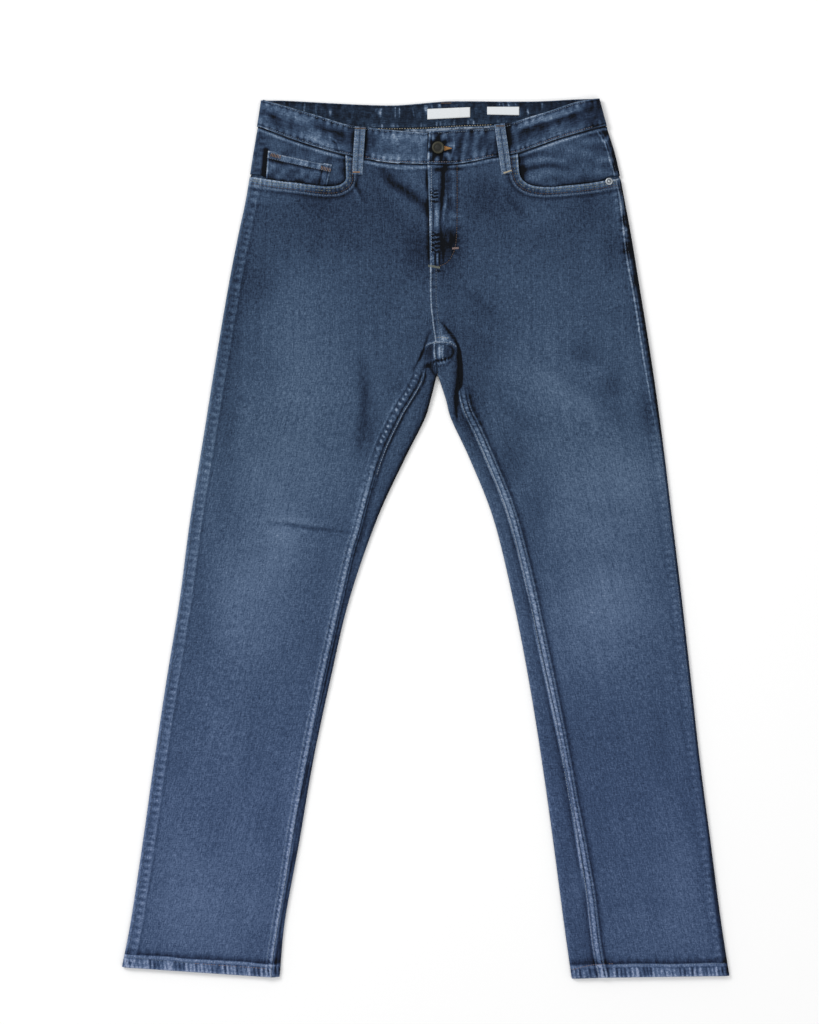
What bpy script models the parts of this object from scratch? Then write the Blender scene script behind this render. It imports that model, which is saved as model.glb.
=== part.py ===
"""Slim fit jeans, laid flat on a surface with the front up and the waist towards +Y.

The jeans are a set of cut pieces of denim.  Each piece is a wall of cloth: a grid of points on
the middle of the cloth, thickened to both sides.  Lengths in the tables are in millimetres.
Left and right are the wearer's, so the right leg lies at -X.
"""
import math

import bpy
import numpy as np

MM = 0.001

# --- Cloth -----------------------------------------------------------------------------------
DENIM = 1.2             # one layer of denim
POCKETING = 1.0         # pocket facing and coin pocket
SEAM_GAP = 0.18         # each piece stops this far short of its seam
EDGE_GAP = 0.02         # the same at the folded side, where the cloth stands upright
WAIST_GAP = 0.5         # below the waistband, whose edge curves between the grid points
CLEAR = 0.35            # air between a piece and the one that lies on it

# --- How the flattened tube of cloth stands off the surface ------------------------------------
FOLD_HEIGHT = 2.0       # middle of the cloth where it turns over at a side
FOLD_REACH = 2.0        # how far in from the side the tight turn lasts
TURN_UP = 1.7           # rise of the upper half of that turn
TURN_DOWN = FOLD_HEIGHT - DENIM / 2
LEG_HEIGHT = 4.6        # middle of the upper layer on the legs
HIP_HEIGHT = 5.4        # the same on the hips
HIP_START, HIP_FULL = 180.0, 300.0
SOFT_REACH = 14.0       # how far in from the side the upper layer goes on rising
POCKET_LIFT = 1.4       # the back pockets and belt loops hold the seat off the surface
LIFT_START, LIFT_FULL = 110.0, 215.0

# --- Hems and seams ------------------------------------------------------------------------------
HEM_DEPTH = 15.0
HEM_RAISE = 0.8         # the turned-up hem is thicker
SEAM_RAISE = 0.6        # felled inseam and the allowance under the outseam
INSEAM_WIDTH = 9.5
OUTSEAM_WIDTH = 11.0

# --- Outline and seams as seen from above, from the hem upwards (x, y) ---------------------------
PLAN_CENTRE = (0.255, -0.785)   # middle of the whole outline, which becomes the origin
OUTSEAM_RIGHT = [(-374, -529), (-363, -472), (-348, -373), (-334, -274), (-319, -175), (-303, -77),
                 (-290, 22), (-274, 121), (-258, 220), (-241, 319), (-229, 380), (-221, 417),
                 (-213, 467), (-206.5, 506)]
OUTSEAM_LEFT = [(374.5, -539.7), (364, -472), (351, -373), (338, -274), (327, -175), (316, -77),
                (304, 22), (292, 121), (278, 220), (262, 319), (254, 368), (245, 417),
                (235, 467), (223, 507)]
LEG_EDGE_RIGHT = [(-180.5, -541), (-174, -472), (-156, -373), (-139, -274), (-118, -175),
                  (-95, -77), (-61, 22), (-27, 96), (-2, 146), (5.6, 170), (11.6, 194), (12.6, 198.6),
                  (14.8, 200.7)]
LEG_EDGE_LEFT = [(181, -543.4), (171, -472), (158, -373), (144, -274), (128, -175), (109, -77),
                 (85, 22), (56, 96), (32.7, 146), (26, 170), (18.2, 194),
                 (17.0, 198.6), (14.8, 200.7)]
CROTCH = (12.0, 241.2)
INSEAM_RIGHT = [(-190.5, -541.5), (-186, -504), (-172.3, -422), (-156, -327), (-134, -225),
                (-112, -126), (-88, -21), (-79.5, 7), (-56, 93.5), (-32, 147.5), (-19, 169.5), (-6, 192),
                (-1.5, 212), (1.5, 232), CROTCH]
INSEAM_LEFT = [(214.5, -542), (207, -504), (197, -422), (181.8, -327), (162, -225), (140, -126),
               (119, -35), (97.5, 40), (63.5, 123), (46, 164), (40.5, 205), (36, 232), CROTCH]
RISE_SEAM = [CROTCH, (8.2, 268), (5.8, 294), (5.6, 334.7)]
FLY_TOP = 459.5
LAP_EDGE = [(5.6, 334.7), (4.6, 400), (2.4, FLY_TOP)]
FLY_UNDERLAP = 14.0     # x of the right front's edge under the lap
UNDERLAP_EDGE = [(5.6, 334.7), (FLY_UNDERLAP, 346), (FLY_UNDERLAP, FLY_TOP)]
MOUTH_RIGHT = [(-216.2, 445), (-185, 440), (-155, 436.6), (-130, 433.2), (-116.7, 432.7),
               (-106, 434.5), (-98.5, 440), (-97.8, 449), (-98.5, 471.6)]
MOUTH_LEFT = [(239.5, 443), (222, 440), (200, 436.4), (177, 434), (153, 432), (139, 432.6),
              (127, 435.5), (118.5, 442), (115, 452), (113.5, 473.8)]

# --- Waistband: a row for each section (seam x, seam y, top x, top y) ----------------------------
BAND_FRONT_LEFT = [(2.4, 461, 4.6, 500.5), (37.7, 460.8, 42, 503.2), (80.9, 469, 84, 505.8),
                   (112, 474, 108, 512.4), (154.4, 489, 150, 525.4), (188.3, 499.4, 184, 537)]
BAND_SIDE_LEFT = (222.6, 508, 213.5, 541.6)
BAND_BACK = [(186, 505, 184, 541), (139, 502, 139, 538.5), (82, 501, 82, 538.4),
             (24, 500.5, 24, 538.4), (-35, 500.5, -35, 533.6), (-92, 501, -92, 535),
             (-147, 503, -147, 538), (-178, 505, -178, 539.5)]
BAND_SIDE_RIGHT = (-206.8, 507, -201.8, 539.6)
BAND_FRONT_RIGHT = [(-167.3, 492.6, -164, 530), (-126.6, 479.4, -122, 517.2),
                    (-98, 472.2, -94, 509), (-47.5, 462.4, -46, 503.4), (0.6, 460.7, 0.6, 499.6),
                    (24, 460.5, 24, 499.4)]
BAND_THICK = 2.4
BAND_BACK_HEIGHT = POCKET_LIFT + BAND_THICK / 2
BAND_FRONT_HEIGHT = BAND_BACK_HEIGHT + 4.0
BAND_LAP_RAISE = 2.8    # the buttonhole end lies on the button end
LAP_RAISE = 2.0         # the fly lap lies on the right front
LAP_FLAT, LAP_END = 28.0, 50.0

# --- Yoke and back pockets -------------------------------------------------------------------------
CENTRE_BACK_X = 12.0
YOKE_CENTRE_Y, YOKE_SIDE_Y = 425.0, 455.0
WAIST_CENTRE_Y, WAIST_SIDE_Y = 500.1, 505.6
BACK_POCKET = [(-75, 78), (75, 84), (71, -48), (0, -84), (-71, -54)]   # corners about its centre
BACK_POCKET_CENTRES = {"back_pocket_right": (-112, 322), "back_pocket_left": (136, 322)}

# --- Largest folds of the front: from, to, half width, height ---------------------------------------
FOLDS = [
    ((134, 224), (262, 130), 26, -1.0),         # left thigh, valley
    ((150, 182), (252, 108), 20, 0.8),          # left thigh, ridge
    ((-196, 20), (-92, 5), 8, -0.9),            # right knee, crease
    ((-52, 452), (-6, 384), 16, -0.6),          # beside the fly
    ((-78, 212), (-74, 108), 14, -0.7),         # right thigh, inner side
    ((250, -90), (262, -300), 40, 0.7),         # left shin, ridge
    ((-215, -70), (-250, -290), 40, 0.7),       # right shin, ridge
]

# --- Small pieces -------------------------------------------------------------------------------------
LOOP_WIDTH = 12.5
FRONT_LOOPS = {         # from the lower end to the waistband's top edge
    "loop_front_right": [(-84, 447.7), (-82.5, 474), (-80.3, 506.3)],
    "loop_front_left": [(100, 448.5), (96, 476), (91, 510)],
}
LOOP_BOW = 0.8
BACK_LOOPS = {"loop_back_right": -118.0, "loop_back_centre": 17.0, "loop_back_left": 150.0}
BACK_LOOP_THICK = 1.0
FACING_DROP = 2.0       # the facing lies this far under the front
COIN_CORNERS = [(-194, 477.3), (-115.5, 459.9), (-124, 424.5), (-197, 436)]
ZIP_HEIGHT = 6.5
MAIN_LABEL = [(2.3, 516.2), (55, 518.9), (55, 531.3), (2.3, 529.1)]
SIZE_LABEL = [(76, 523), (115.5, 522.4), (115.5, 531.8), (76, 531.8)]
BUTTON_AT = (15.4, 480.4)
BUTTON_PROFILE = [(0, 0), (3.2, 0), (3.2, 0.9), (7.0, 1.1), (7.6, 1.7), (7.3, 2.5), (6.4, 2.9),
                  (5.2, 2.6), (4.6, 2.3), (0, 2.5)]
RIVET_AT, RIVET_BASE = (226.0, 439.2), 8.9
RIVET_PROFILE = [(0, 0), (4.4, 0), (4.6, 0.4), (4.0, 0.9), (2.6, 1.0), (2.2, 0.8), (0, 1.1)]

COLOURS = {                     # linear colour, roughness, metallic
    "denim": ((0.035, 0.060, 0.115), 0.85, 0.0),
    "label": ((0.80, 0.79, 0.76), 0.70, 0.0),
    "brass": ((0.24, 0.16, 0.08), 0.38, 1.0),
    "steel": ((0.55, 0.55, 0.54), 0.32, 1.0),
    "zip_tape": ((0.02, 0.03, 0.06), 0.80, 0.0),
}


def smoothstep(value):
    """0 below 0, 1 above 1, and an S-shaped rise between."""
    t = np.clip(value, 0.0, 1.0)
    return t * t * (3.0 - 2.0 * t)


def smooth_curve(points, count):
    """A Catmull-Rom curve through the points, as count points evenly spaced along it."""
    p = np.asarray(points, float)
    p = np.vstack([2 * p[0] - p[1], p, 2 * p[-1] - p[-2]])
    t = np.linspace(0, 1, 24, endpoint=False)[:, None]
    parts = []
    for a, b, c, d in zip(p[:-3], p[1:-2], p[2:-1], p[3:]):
        parts.append(0.5 * (2 * b + (c - a) * t + (2 * a - 5 * b + 4 * c - d) * t ** 2
                            + (3 * b - a - 3 * c + d) * t ** 3))
    dense = np.vstack(parts + [p[-2:-1]])
    return pick(dense, np.linspace(0, 1, count))


def pick(curve, fractions):
    """Points at the given fractions of the length of a polyline."""
    steps = np.linalg.norm(np.diff(curve, axis=0), axis=1)
    run = np.concatenate([[0], np.cumsum(steps)])
    return np.stack([np.interp(np.asarray(fractions) * run[-1], run, curve[:, k])
                     for k in range(curve.shape[1])], axis=1)


def shift_sideways(points, amount):
    """Moves an open polyline to its left by amount, square to its own direction."""
    step = np.diff(points, axis=0)
    step /= np.linalg.norm(step, axis=1)[:, None]
    before, after = np.vstack([step[:1], step]), np.vstack([step, step[-1:]])
    mean = before + after
    mean /= np.linalg.norm(mean, axis=1)[:, None]
    spread = np.clip(np.sum(mean * after, axis=1), 0.6, 1.0)
    return points + amount * np.stack([-mean[:, 1], mean[:, 0]], axis=1) / spread[:, None]


def distance_to(curve, x, y):
    """Distance in plan from points to a polyline."""
    a, b = curve[:-1], curve[1:]
    ab = b - a
    ax, ay = x[..., None] - a[:, 0], y[..., None] - a[:, 1]
    t = np.clip((ax * ab[:, 0] + ay * ab[:, 1]) / np.sum(ab * ab, axis=1), 0, 1)
    return np.sqrt((ax - t * ab[:, 0]) ** 2 + (ay - t * ab[:, 1]) ** 2).min(axis=-1)


SIDES = [smooth_curve(OUTSEAM_RIGHT, 160), smooth_curve(OUTSEAM_LEFT, 160),
         smooth_curve(LEG_EDGE_RIGHT, 160), smooth_curve(LEG_EDGE_LEFT, 160)]


def side_distance(x, y):
    """How far a point lies in from the nearest folded side of the jeans."""
    return np.min([distance_to(side, x, y) for side in SIDES], axis=0)


def turn(distance):
    """The tight turn at a side: a quarter of an ellipse, upright where it starts."""
    t = 1.0 - np.clip(distance / FOLD_REACH, 0.0, 1.0)
    return np.sqrt(1.0 - t * t)


def soft_rise(distance):
    t = 1.0 - np.clip(distance / SOFT_REACH, 0.0, 1.0)
    return 1.0 - t * t


def lift(y):
    """The seat is held up by the back pockets and loops, and slopes down to the legs."""
    return POCKET_LIFT * smoothstep((y - LIFT_START) / (LIFT_FULL - LIFT_START))


def fold_relief(x, y):
    """Each fold is a soft trough or ridge that dies out at both ends."""
    relief = np.zeros_like(x)
    for start, end, half_width, height in FOLDS:
        start, end = np.array(start, float), np.array(end, float)
        along = end - start
        length = np.linalg.norm(along)
        along /= length
        u = ((x - start[0]) * along[0] + (y - start[1]) * along[1]) / length
        v = (x - start[0]) * along[1] - (y - start[1]) * along[0]
        fade = np.sin(np.pi * np.clip(u, 0, 1)) ** 0.7
        relief += height * fade * np.exp(-(v / half_width) ** 2)
    return relief


def mouth_raise(x, y):
    """The front stands a little higher over the pockets."""
    raised = np.zeros_like(x)
    for centre_x in (-150.0, 170.0):
        raised += 0.8 * (smoothstep((95 - abs(x - centre_x)) / 25) * smoothstep((y - 385) / 35))
    return raised


def upper_height(x, y, drop=0.0):
    """Middle of the cloth in the upper layer, or of a plain layer that lies drop under it."""
    d = side_distance(x, y)
    top = LEG_HEIGHT + (HIP_HEIGHT - LEG_HEIGHT) * smoothstep((y - HIP_START) / (HIP_FULL - HIP_START))
    relief = -drop if drop else mouth_raise(x, y) + fold_relief(x, y)
    top = top - FOLD_HEIGHT - TURN_UP + relief
    return lift(y) + FOLD_HEIGHT + TURN_UP * turn(d) + top * soft_rise(d)


def lower_height(x, y):
    """Middle of the cloth in the layer that rests on the surface."""
    return lift(y) + FOLD_HEIGHT - TURN_DOWN * turn(side_distance(x, y))


def lap_raise(x, y):
    """The left front rises over the fly, where it lies on the right one."""
    along = smoothstep((y - 298) / 34)
    across = 1.0 - smoothstep((x - LAP_FLAT) / (LAP_END - LAP_FLAT))
    return LAP_RAISE * along * across


def grid_normals(grid):
    """Square to the cloth at each point, from the points on both sides of it."""
    n = np.cross(np.gradient(grid, axis=0), np.gradient(grid, axis=1))
    return n / np.linalg.norm(n, axis=2)[..., None]


def make_object(name, vertices, faces, finish):
    """One closed mesh, in metres, with its faces turned out and its own material."""
    mesh = bpy.data.meshes.new(name)
    vertices = np.asarray(vertices, float)
    a, b, c = (vertices[[f[k] for f in faces]] for k in (0, 1, 2))
    volume = np.einsum("ij,ij->i", a, np.cross(b, c)).sum()
    volume += sum(np.dot(vertices[f[0]], np.cross(vertices[f[2]], vertices[f[3]]))
                  for f in faces if len(f) == 4)
    if volume < 0:
        faces = [tuple(reversed(f)) for f in faces]
    mesh.from_pydata(((vertices - (*PLAN_CENTRE, 0.0)) * MM).tolist(), [], faces)
    mesh.shade_smooth()
    mesh.set_sharp_from_angle(angle=math.radians(50))
    colour, roughness, metallic = COLOURS[finish]
    material = bpy.data.materials.new(name)
    material.use_nodes = True
    shader = material.node_tree.nodes["Principled BSDF"]
    shader.inputs["Base Color"].default_value = (*colour, 1.0)
    shader.inputs["Roughness"].default_value = roughness
    shader.inputs["Metallic"].default_value = metallic
    mesh.materials.append(material)
    obj = bpy.data.objects.new(name, mesh)
    bpy.context.collection.objects.link(obj)
    return obj


def cloth_solid(name, grid, thickness, finish, outward=1, raised=0.0, side_points=None,
                centre_seam=False):
    """A wall about the grid: both faces, joined all round by a strip.

    outward is 1 where the grid's own normals point out of the jeans and -1 where they point in;
    raised is added to the outer face alone.  The cloth stands upright at the side points, and a
    last row that is a centre seam is cut off square, so that pieces meet face to face there.
    """
    normals = grid_normals(grid) * outward
    if side_points is not None:
        normals[side_points, 2] = 0.0
        normals /= np.linalg.norm(normals, axis=2)[..., None]
    if centre_seam:
        normals[-1, :, 0] = 0.0
        normals[-1] /= np.linalg.norm(normals[-1], axis=1)[:, None]
    outer = grid + normals * (thickness / 2 + np.zeros(grid.shape[:2]) + raised)[..., None]
    inner = grid - normals * thickness / 2
    rows, columns = grid.shape[:2]
    count = rows * columns
    index = np.arange(count).reshape(rows, columns)
    quads = np.stack([index[:-1, :-1], index[:-1, 1:], index[1:, 1:], index[1:, :-1]], axis=-1)
    quads = quads.reshape(-1, 4)
    rim = np.concatenate([index[0, :-1], index[:-1, -1], index[-1, :0:-1], index[:0:-1, 0]])
    after = np.roll(rim, -1)
    strip = np.stack([after, rim, rim + count, after + count], axis=-1)
    faces = np.concatenate([quads, quads[:, ::-1] + count, strip])
    vertices = np.concatenate([outer.reshape(-1, 3), inner.reshape(-1, 3)])
    return make_object(name, vertices, [tuple(f) for f in faces.tolist()], finish)


def rows_between(starts, ends, near, middle, far):
    """Points in plan on straight rows: near and far are distances from the ends, middle fractions
    of what is left between them."""
    length = np.linalg.norm(ends - starts, axis=1)[:, None]
    near, far = np.asarray(near, float), np.asarray(far, float)
    inside = near[-1] + (length - near[-1] - far[0]) * np.asarray(middle)
    along = np.hstack([np.tile(near, (len(starts), 1)), inside, length - far]) / length
    return starts[:, None, :] + (ends - starts)[:, None, :] * along[..., None]


def with_height(plan, height):
    return np.dstack([plan, height])


# Fractions of the way up a leg, from its hem to where the rows start to fan out at the crotch
LEG_RUN = 650.0
LEG_LEVELS = np.concatenate([[0, HEM_DEPTH, HEM_DEPTH + 1.2], np.linspace(52, LEG_RUN, 13)])
FAN = np.linspace(0, 1, 14)[1:]
TURN_STEPS = [0.0, 0.27, 1.0, FOLD_REACH]


def curve_at(curve, levels):
    """The points of a rising curve at given heights above its own lower end."""
    y = curve[0, 1] + levels
    return np.stack([np.interp(y, curve[:, 1], curve[:, 0]), y], axis=1)


def above(curve, level):
    """The part of a rising curve above a height over its lower end."""
    first = curve_at(curve, np.array([level]))
    return np.vstack([first, curve[curve[:, 1] > first[0, 1]]])


def seam_stations(points, count=400):
    """The legs' even levels and then the fan's even steps, on one rising seam."""
    curve = smooth_curve(points, count)
    return np.vstack([curve_at(curve, LEG_LEVELS), pick(above(curve, LEG_RUN), FAN)])


def front_panel(name, side, outseam, inseam, mouth, upper_seam):
    """A front: rows from the outseam, and above it the pocket mouth, to the inseam and fly."""
    seam = smooth_curve(outseam, 400)
    low = curve_at(seam, LEG_LEVELS)
    corner = np.array(mouth[0])
    hip = above(seam, LEG_RUN)
    hip = hip[hip[:, 1] < corner[1] - 2]
    hip_count, mouth_count, rise_count = len(FAN) + 7, 12, 5
    hip_rows = pick(np.vstack([hip, corner]), np.linspace(0, 1, hip_count + 1))[1:]
    mouth_rows = pick(smooth_curve(mouth, 200), np.linspace(0, 1, mouth_count + 1))[1:]
    outer = np.vstack([low, hip_rows, mouth_rows])
    outer[:len(low) + hip_count, 0] -= side * EDGE_GAP
    legs = seam_stations(inseam)
    rise = pick(smooth_curve(RISE_SEAM, 60), np.linspace(0, 1, rise_count + 1))[1:]
    fly_count = len(outer) - len(legs) - rise_count
    upper = pick(np.asarray(upper_seam, float), np.linspace(0, 1, fly_count + 1))[1:]
    inner = shift_sideways(np.vstack([legs, rise]), -side * SEAM_GAP)
    inner = np.vstack([inner, upper])
    plan = rows_between(outer, inner, TURN_STEPS + [OUTSEAM_WIDTH, OUTSEAM_WIDTH + 1.5],
                        [0.2, 0.4, 0.6, 0.8], [INSEAM_WIDTH + 1.2, INSEAM_WIDTH, 1.0, 0.0])
    plan[-1, :, 1] = waist_seam(plan[-1, :, 0], True) - WAIST_GAP
    height = upper_height(plan[..., 0], plan[..., 1])
    if side > 0:
        height += lap_raise(plan[..., 0], plan[..., 1])
    raised = np.zeros(plan.shape[:2])
    raised[:2] += HEM_RAISE
    raised[:len(low) + hip_count - 2, 3:5] += SEAM_RAISE
    raised[:len(legs), -3:] += SEAM_RAISE
    upright = np.zeros(raised.shape, bool)
    upright[:len(low) + hip_count - 1, 0] = True
    cloth_solid(name, with_height(plan, height), DENIM, "denim", side, raised, upright)


def back_panel(name, side, outseam, inseam, leg_edge):
    """A back: rows from the inseam on top, round the inner side, and underneath to the outseam.

    Past the crotch the rows fan out about the fork, up the outseam and along the yoke seam, until
    the last one is the seam of the seat.
    """
    seam = shift_sideways(seam_stations(inseam), side * SEAM_GAP)
    edge = seam_stations(leg_edge)
    outer = smooth_curve(outseam, 400)
    hip = above(outer, LEG_RUN)
    side_x = np.interp(YOKE_SIDE_Y, outer[:, 1], outer[:, 0])
    hip = hip[hip[:, 1] < YOKE_SIDE_Y - 1]
    yoke = np.linspace((side_x, YOKE_SIDE_Y), (CENTRE_BACK_X, YOKE_CENTRE_Y), 60)
    far = np.vstack([curve_at(outer, LEG_LEVELS), pick(np.vstack([hip, yoke]), FAN)])
    far[:, 1] -= np.where(far[:, 1] > YOKE_CENTRE_Y - 1, SEAM_GAP, 0)
    strip = rows_between(seam, edge, [0.0, 1.0], [0.5], [2.0, 1.0, 0.27, 0.0])
    under = rows_between(edge, far, TURN_STEPS, [0.12, 0.31, 0.5, 0.69, 0.88], TURN_STEPS[::-1])
    under = under[:, 1:]
    plan = np.concatenate([strip, under], axis=1)
    plan[-1, :, 0] += side * (SEAM_GAP + 0.08)
    on_top = np.arange(plan.shape[1]) < strip.shape[1]
    height = np.where(on_top, upper_height(plan[..., 0], plan[..., 1]),
                      lower_height(plan[..., 0], plan[..., 1]))
    raised = np.zeros(plan.shape[:2])
    raised[:2, :strip.shape[1] - 2] += HEM_RAISE
    upright = np.zeros(raised.shape, bool)
    upright[:, -1] = side_distance(far[:, 0], far[:, 1]) < 1.0
    cloth_solid(name, with_height(plan, height), DENIM, "denim", -side, raised, upright, True)


def yoke(name, side, outseam):
    """The back yoke, from the centre back to the side, between waistband and back panel."""
    outer = smooth_curve(outseam, 400)
    levels = np.linspace(0, 1, 6)
    centre_y = YOKE_CENTRE_Y + SEAM_GAP + (WAIST_CENTRE_Y - YOKE_CENTRE_Y) * levels
    centre = np.stack([np.full(6, CENTRE_BACK_X + side * SEAM_GAP), centre_y], axis=1)
    side_y = YOKE_SIDE_Y + SEAM_GAP + (WAIST_SIDE_Y - YOKE_SIDE_Y - SEAM_GAP) * levels
    far = np.stack([np.interp(side_y, outer[:, 1], outer[:, 0]), side_y], axis=1)
    plan = rows_between(centre, far, [0.0, 2.0], [0.2, 0.4, 0.6, 0.8], TURN_STEPS[::-1])
    plan[-1, :, 1] = waist_seam(plan[-1, :, 0], False) - WAIST_GAP
    height = lower_height(plan[..., 0], plan[..., 1])
    upright = np.zeros(height.shape, bool)
    upright[:, -1] = True
    cloth_solid(name, with_height(plan, height), DENIM, "denim", side, side_points=upright)


def waist_seam(x, front):
    """y of the waistband's lower edge, at the front or at the back."""
    low = band_sections()[:, 0]
    middle = (BAND_FRONT_HEIGHT + BAND_BACK_HEIGHT) / 2
    low = low[low[:, 2] > middle - 0.1] if front else low[low[:, 2] < middle + 0.1]
    low = low[np.argsort(low[:, 0])]
    return np.interp(x, low[:, 0], low[:, 1])


def band_section(row, height):
    """The lower and the upper point of one section of the waistband."""
    x_low, y_low, x_top, y_top = row
    return [(x_low, y_low, height), (x_top, y_top, height)]


def band_sections():
    """The waistband's sections: from the lap over the left side, along the back, to the underlap."""
    front, back = BAND_FRONT_HEIGHT, BAND_BACK_HEIGHT
    lap = [front + BAND_LAP_RAISE, front + BAND_LAP_RAISE * 0.75, front, front, front, front]
    sections = [band_section(r, h) for r, h in zip(BAND_FRONT_LEFT, lap)]
    sections += band_turn(BAND_SIDE_LEFT, 1)
    sections += [band_section(r, back) for r in BAND_BACK]
    sections += band_turn(BAND_SIDE_RIGHT, -1)[::-1]
    sections += [band_section(r, front) for r in BAND_FRONT_RIGHT]
    return fill_in(fill_in(np.array(sections), 25.0), 16.0)


def waistband():
    """One flattened loop of doubled denim."""
    sections = band_sections()
    across = np.linspace(0, 1, 4)[None, :, None]
    grid = sections[:, :1] + (sections[:, 1:] - sections[:, :1]) * across
    cloth_solid("waistband", grid, BAND_THICK, "denim", -1)


def band_turn(row, side):
    """The band turns over at a side in half a circle, from the front down to the back."""
    radius = (BAND_FRONT_HEIGHT - BAND_BACK_HEIGHT) / 2
    sections = []
    for angle in np.radians(np.linspace(90, -90, 7)):
        x_low, y_low, x_top, y_top = row
        inward = side * radius * (math.cos(angle) - 1)
        height = BAND_BACK_HEIGHT + radius * (1 + math.sin(angle))
        sections.append(band_section((x_low + inward, y_low, x_top + inward, y_top), height))
    return sections


def fill_in(sections, furthest):
    """Adds a section half way between neighbours that are far apart, on a smooth curve."""
    s = np.concatenate([2 * sections[:1] - sections[1:2], sections,
                        2 * sections[-1:] - sections[-2:-1]])
    result = [sections[0]]
    for a, b, c, d in zip(s[:-3], s[1:-2], s[2:-1], s[3:]):
        if np.linalg.norm(c[0] - b[0]) > furthest:
            middle = (9 * (b + c) - a - d) / 16
            middle[:, 2] = (b[:, 2] + c[:, 2]) / 2
            result.append(middle)
        result.append(c)
    return np.array(result)


def pocket_facing(name, side, mouth, outseam):
    """The facing behind a front pocket's mouth, from the waist seam to just below the mouth."""
    outer = smooth_curve(outseam, 400)
    side_low = mouth[0][1] + 3.5
    inner_x = mouth[-1][0] - side * 14
    rows = np.linspace(0, 1, 6)[:, None]
    side_y = side_low + (BAND_SIDE_LEFT[1] - side_low) * rows
    edge_x = np.interp(side_y, outer[:, 1], outer[:, 0]) - side * EDGE_GAP
    turned_x = edge_x - side * np.array(TURN_STEPS + [8.0])
    rest = np.linspace(0, 1, 8)[1:]
    x = np.hstack([turned_x, turned_x[:, -1:] + (inner_x - turned_x[:, -1:]) * rest])
    across = np.concatenate([np.zeros(turned_x.shape[1]), rest])
    low = side_low - 32 * smoothstep(across * 2.4) - 4 * across
    y = low + (waist_seam(x, True) - WAIST_GAP - low) * rows
    height = upper_height(x, y, FACING_DROP)
    upright = np.zeros(height.shape, bool)
    upright[:, 0] = True
    cloth_solid(name, np.dstack([x, y, height]), POCKETING, "denim", side, side_points=upright)


def coin_pocket():
    """The small pocket on the right facing; its lower part lies under the front."""
    top_left, top_right, low_right, low_left = [np.array(p, float) for p in COIN_CORNERS]
    rows, columns = np.linspace(0, 1, 6)[:, None, None], np.linspace(0, 1, 6)[None, :, None]
    low = low_left + (low_right - low_left) * columns
    top = top_left + (top_right - top_left) * columns
    plan = low + (top - low) * rows
    height = upper_height(plan[..., 0], plan[..., 1], FACING_DROP) + POCKETING + CLEAR
    cloth_solid("coin_pocket", with_height(plan, height), POCKETING, "denim", -1)


def back_pocket(name, centre):
    """A patch pocket with five corners, flat on the surface under the seat."""
    corners = np.array(BACK_POCKET, float)
    x_left, x_right = corners[:, 0].min(), corners[:, 0].max()
    columns = np.linspace(0, 1, 9)
    x = x_left + (x_right - x_left) * columns
    top = np.interp(x, corners[:2, 0], corners[:2, 1])
    low = np.interp(x, corners[:1:-1, 0], corners[:1:-1, 1])
    rows = np.linspace(0, 1, 5)[:, None]
    y = low + (top - low) * rows
    taper = 1 - 0.05 * (1 - rows)
    grid = np.dstack([centre[0] + x * taper, centre[1] + y, np.full(y.shape, POCKET_LIFT / 2 - 0.2)])
    cloth_solid(name, grid, POCKET_LIFT - 2 * 0.2, "denim", -1)


def belt_loop(name, line, thickness, height_over, outward):
    """A strip of folded denim along a line in plan; height_over gives its middle at each point."""
    line = smooth_curve(line, 9)
    across = np.array([-0.5, -0.17, 0.17, 0.5]) * LOOP_WIDTH
    step = np.gradient(line, axis=0)
    step /= np.linalg.norm(step, axis=1)[:, None]
    square = np.stack([step[:, 1], -step[:, 0]], axis=1)
    plan = line[:, None] + square[:, None] * across[None, :, None]
    height = height_over(plan[..., 0], plan[..., 1])
    cloth_solid(name, with_height(plan, height), thickness, "denim", outward)


def front_loop_height(x, y):
    """Over both the front and the waistband, bowed out between the two ends."""
    band_top = BAND_FRONT_HEIGHT + BAND_THICK / 2
    under = np.maximum(upper_height(x, y) + DENIM / 2, band_top)
    bow = LOOP_BOW * np.sin(np.pi * np.linspace(0, 1, len(x)))
    middle = under.max(axis=1) + CLEAR + DENIM / 2 + bow
    return np.repeat(middle[:, None], x.shape[1], axis=1)


def back_loop_height(x, y):
    return np.full(x.shape, BACK_LOOP_THICK / 2)


def turned_solid(name, centre, profile, count, finish):
    """A solid turned about an upright axis, from a profile of (radius, height) rows."""
    angle = np.linspace(0, 2 * math.pi, count, endpoint=False)
    vertices = [(centre[0], centre[1], profile[0][1])]
    for radius, height in profile[1:-1]:
        vertices += [(centre[0] + radius * math.cos(a), centre[1] + radius * math.sin(a), height)
                     for a in angle]
    vertices.append((centre[0], centre[1], profile[-1][1]))
    last, faces = len(vertices) - 1, []
    for k in range(count):
        after = (k + 1) % count
        faces.append((0, 1 + after, 1 + k))
        for ring in range(len(profile) - 3):
            a, b = 1 + ring * count, 1 + (ring + 1) * count
            faces.append((a + k, a + after, b + after, b + k))
        faces.append((last, last - count + k, last - count + after))
    make_object(name, vertices, faces, finish)


def flat_label(name, corners, height, thickness):
    """A woven label on the inner face of the back waistband."""
    low_left, low_right, top_right, top_left = [np.array(c, float) for c in corners]
    rows, columns = np.linspace(0, 1, 3)[:, None, None], np.linspace(0, 1, 5)[None, :, None]
    low = low_left + (low_right - low_left) * columns
    top = top_left + (top_right - top_left) * columns
    plan = low + (top - low) * rows
    cloth_solid(name, with_height(plan, np.full(plan.shape[:2], height)), thickness, "label", -1)


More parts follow.
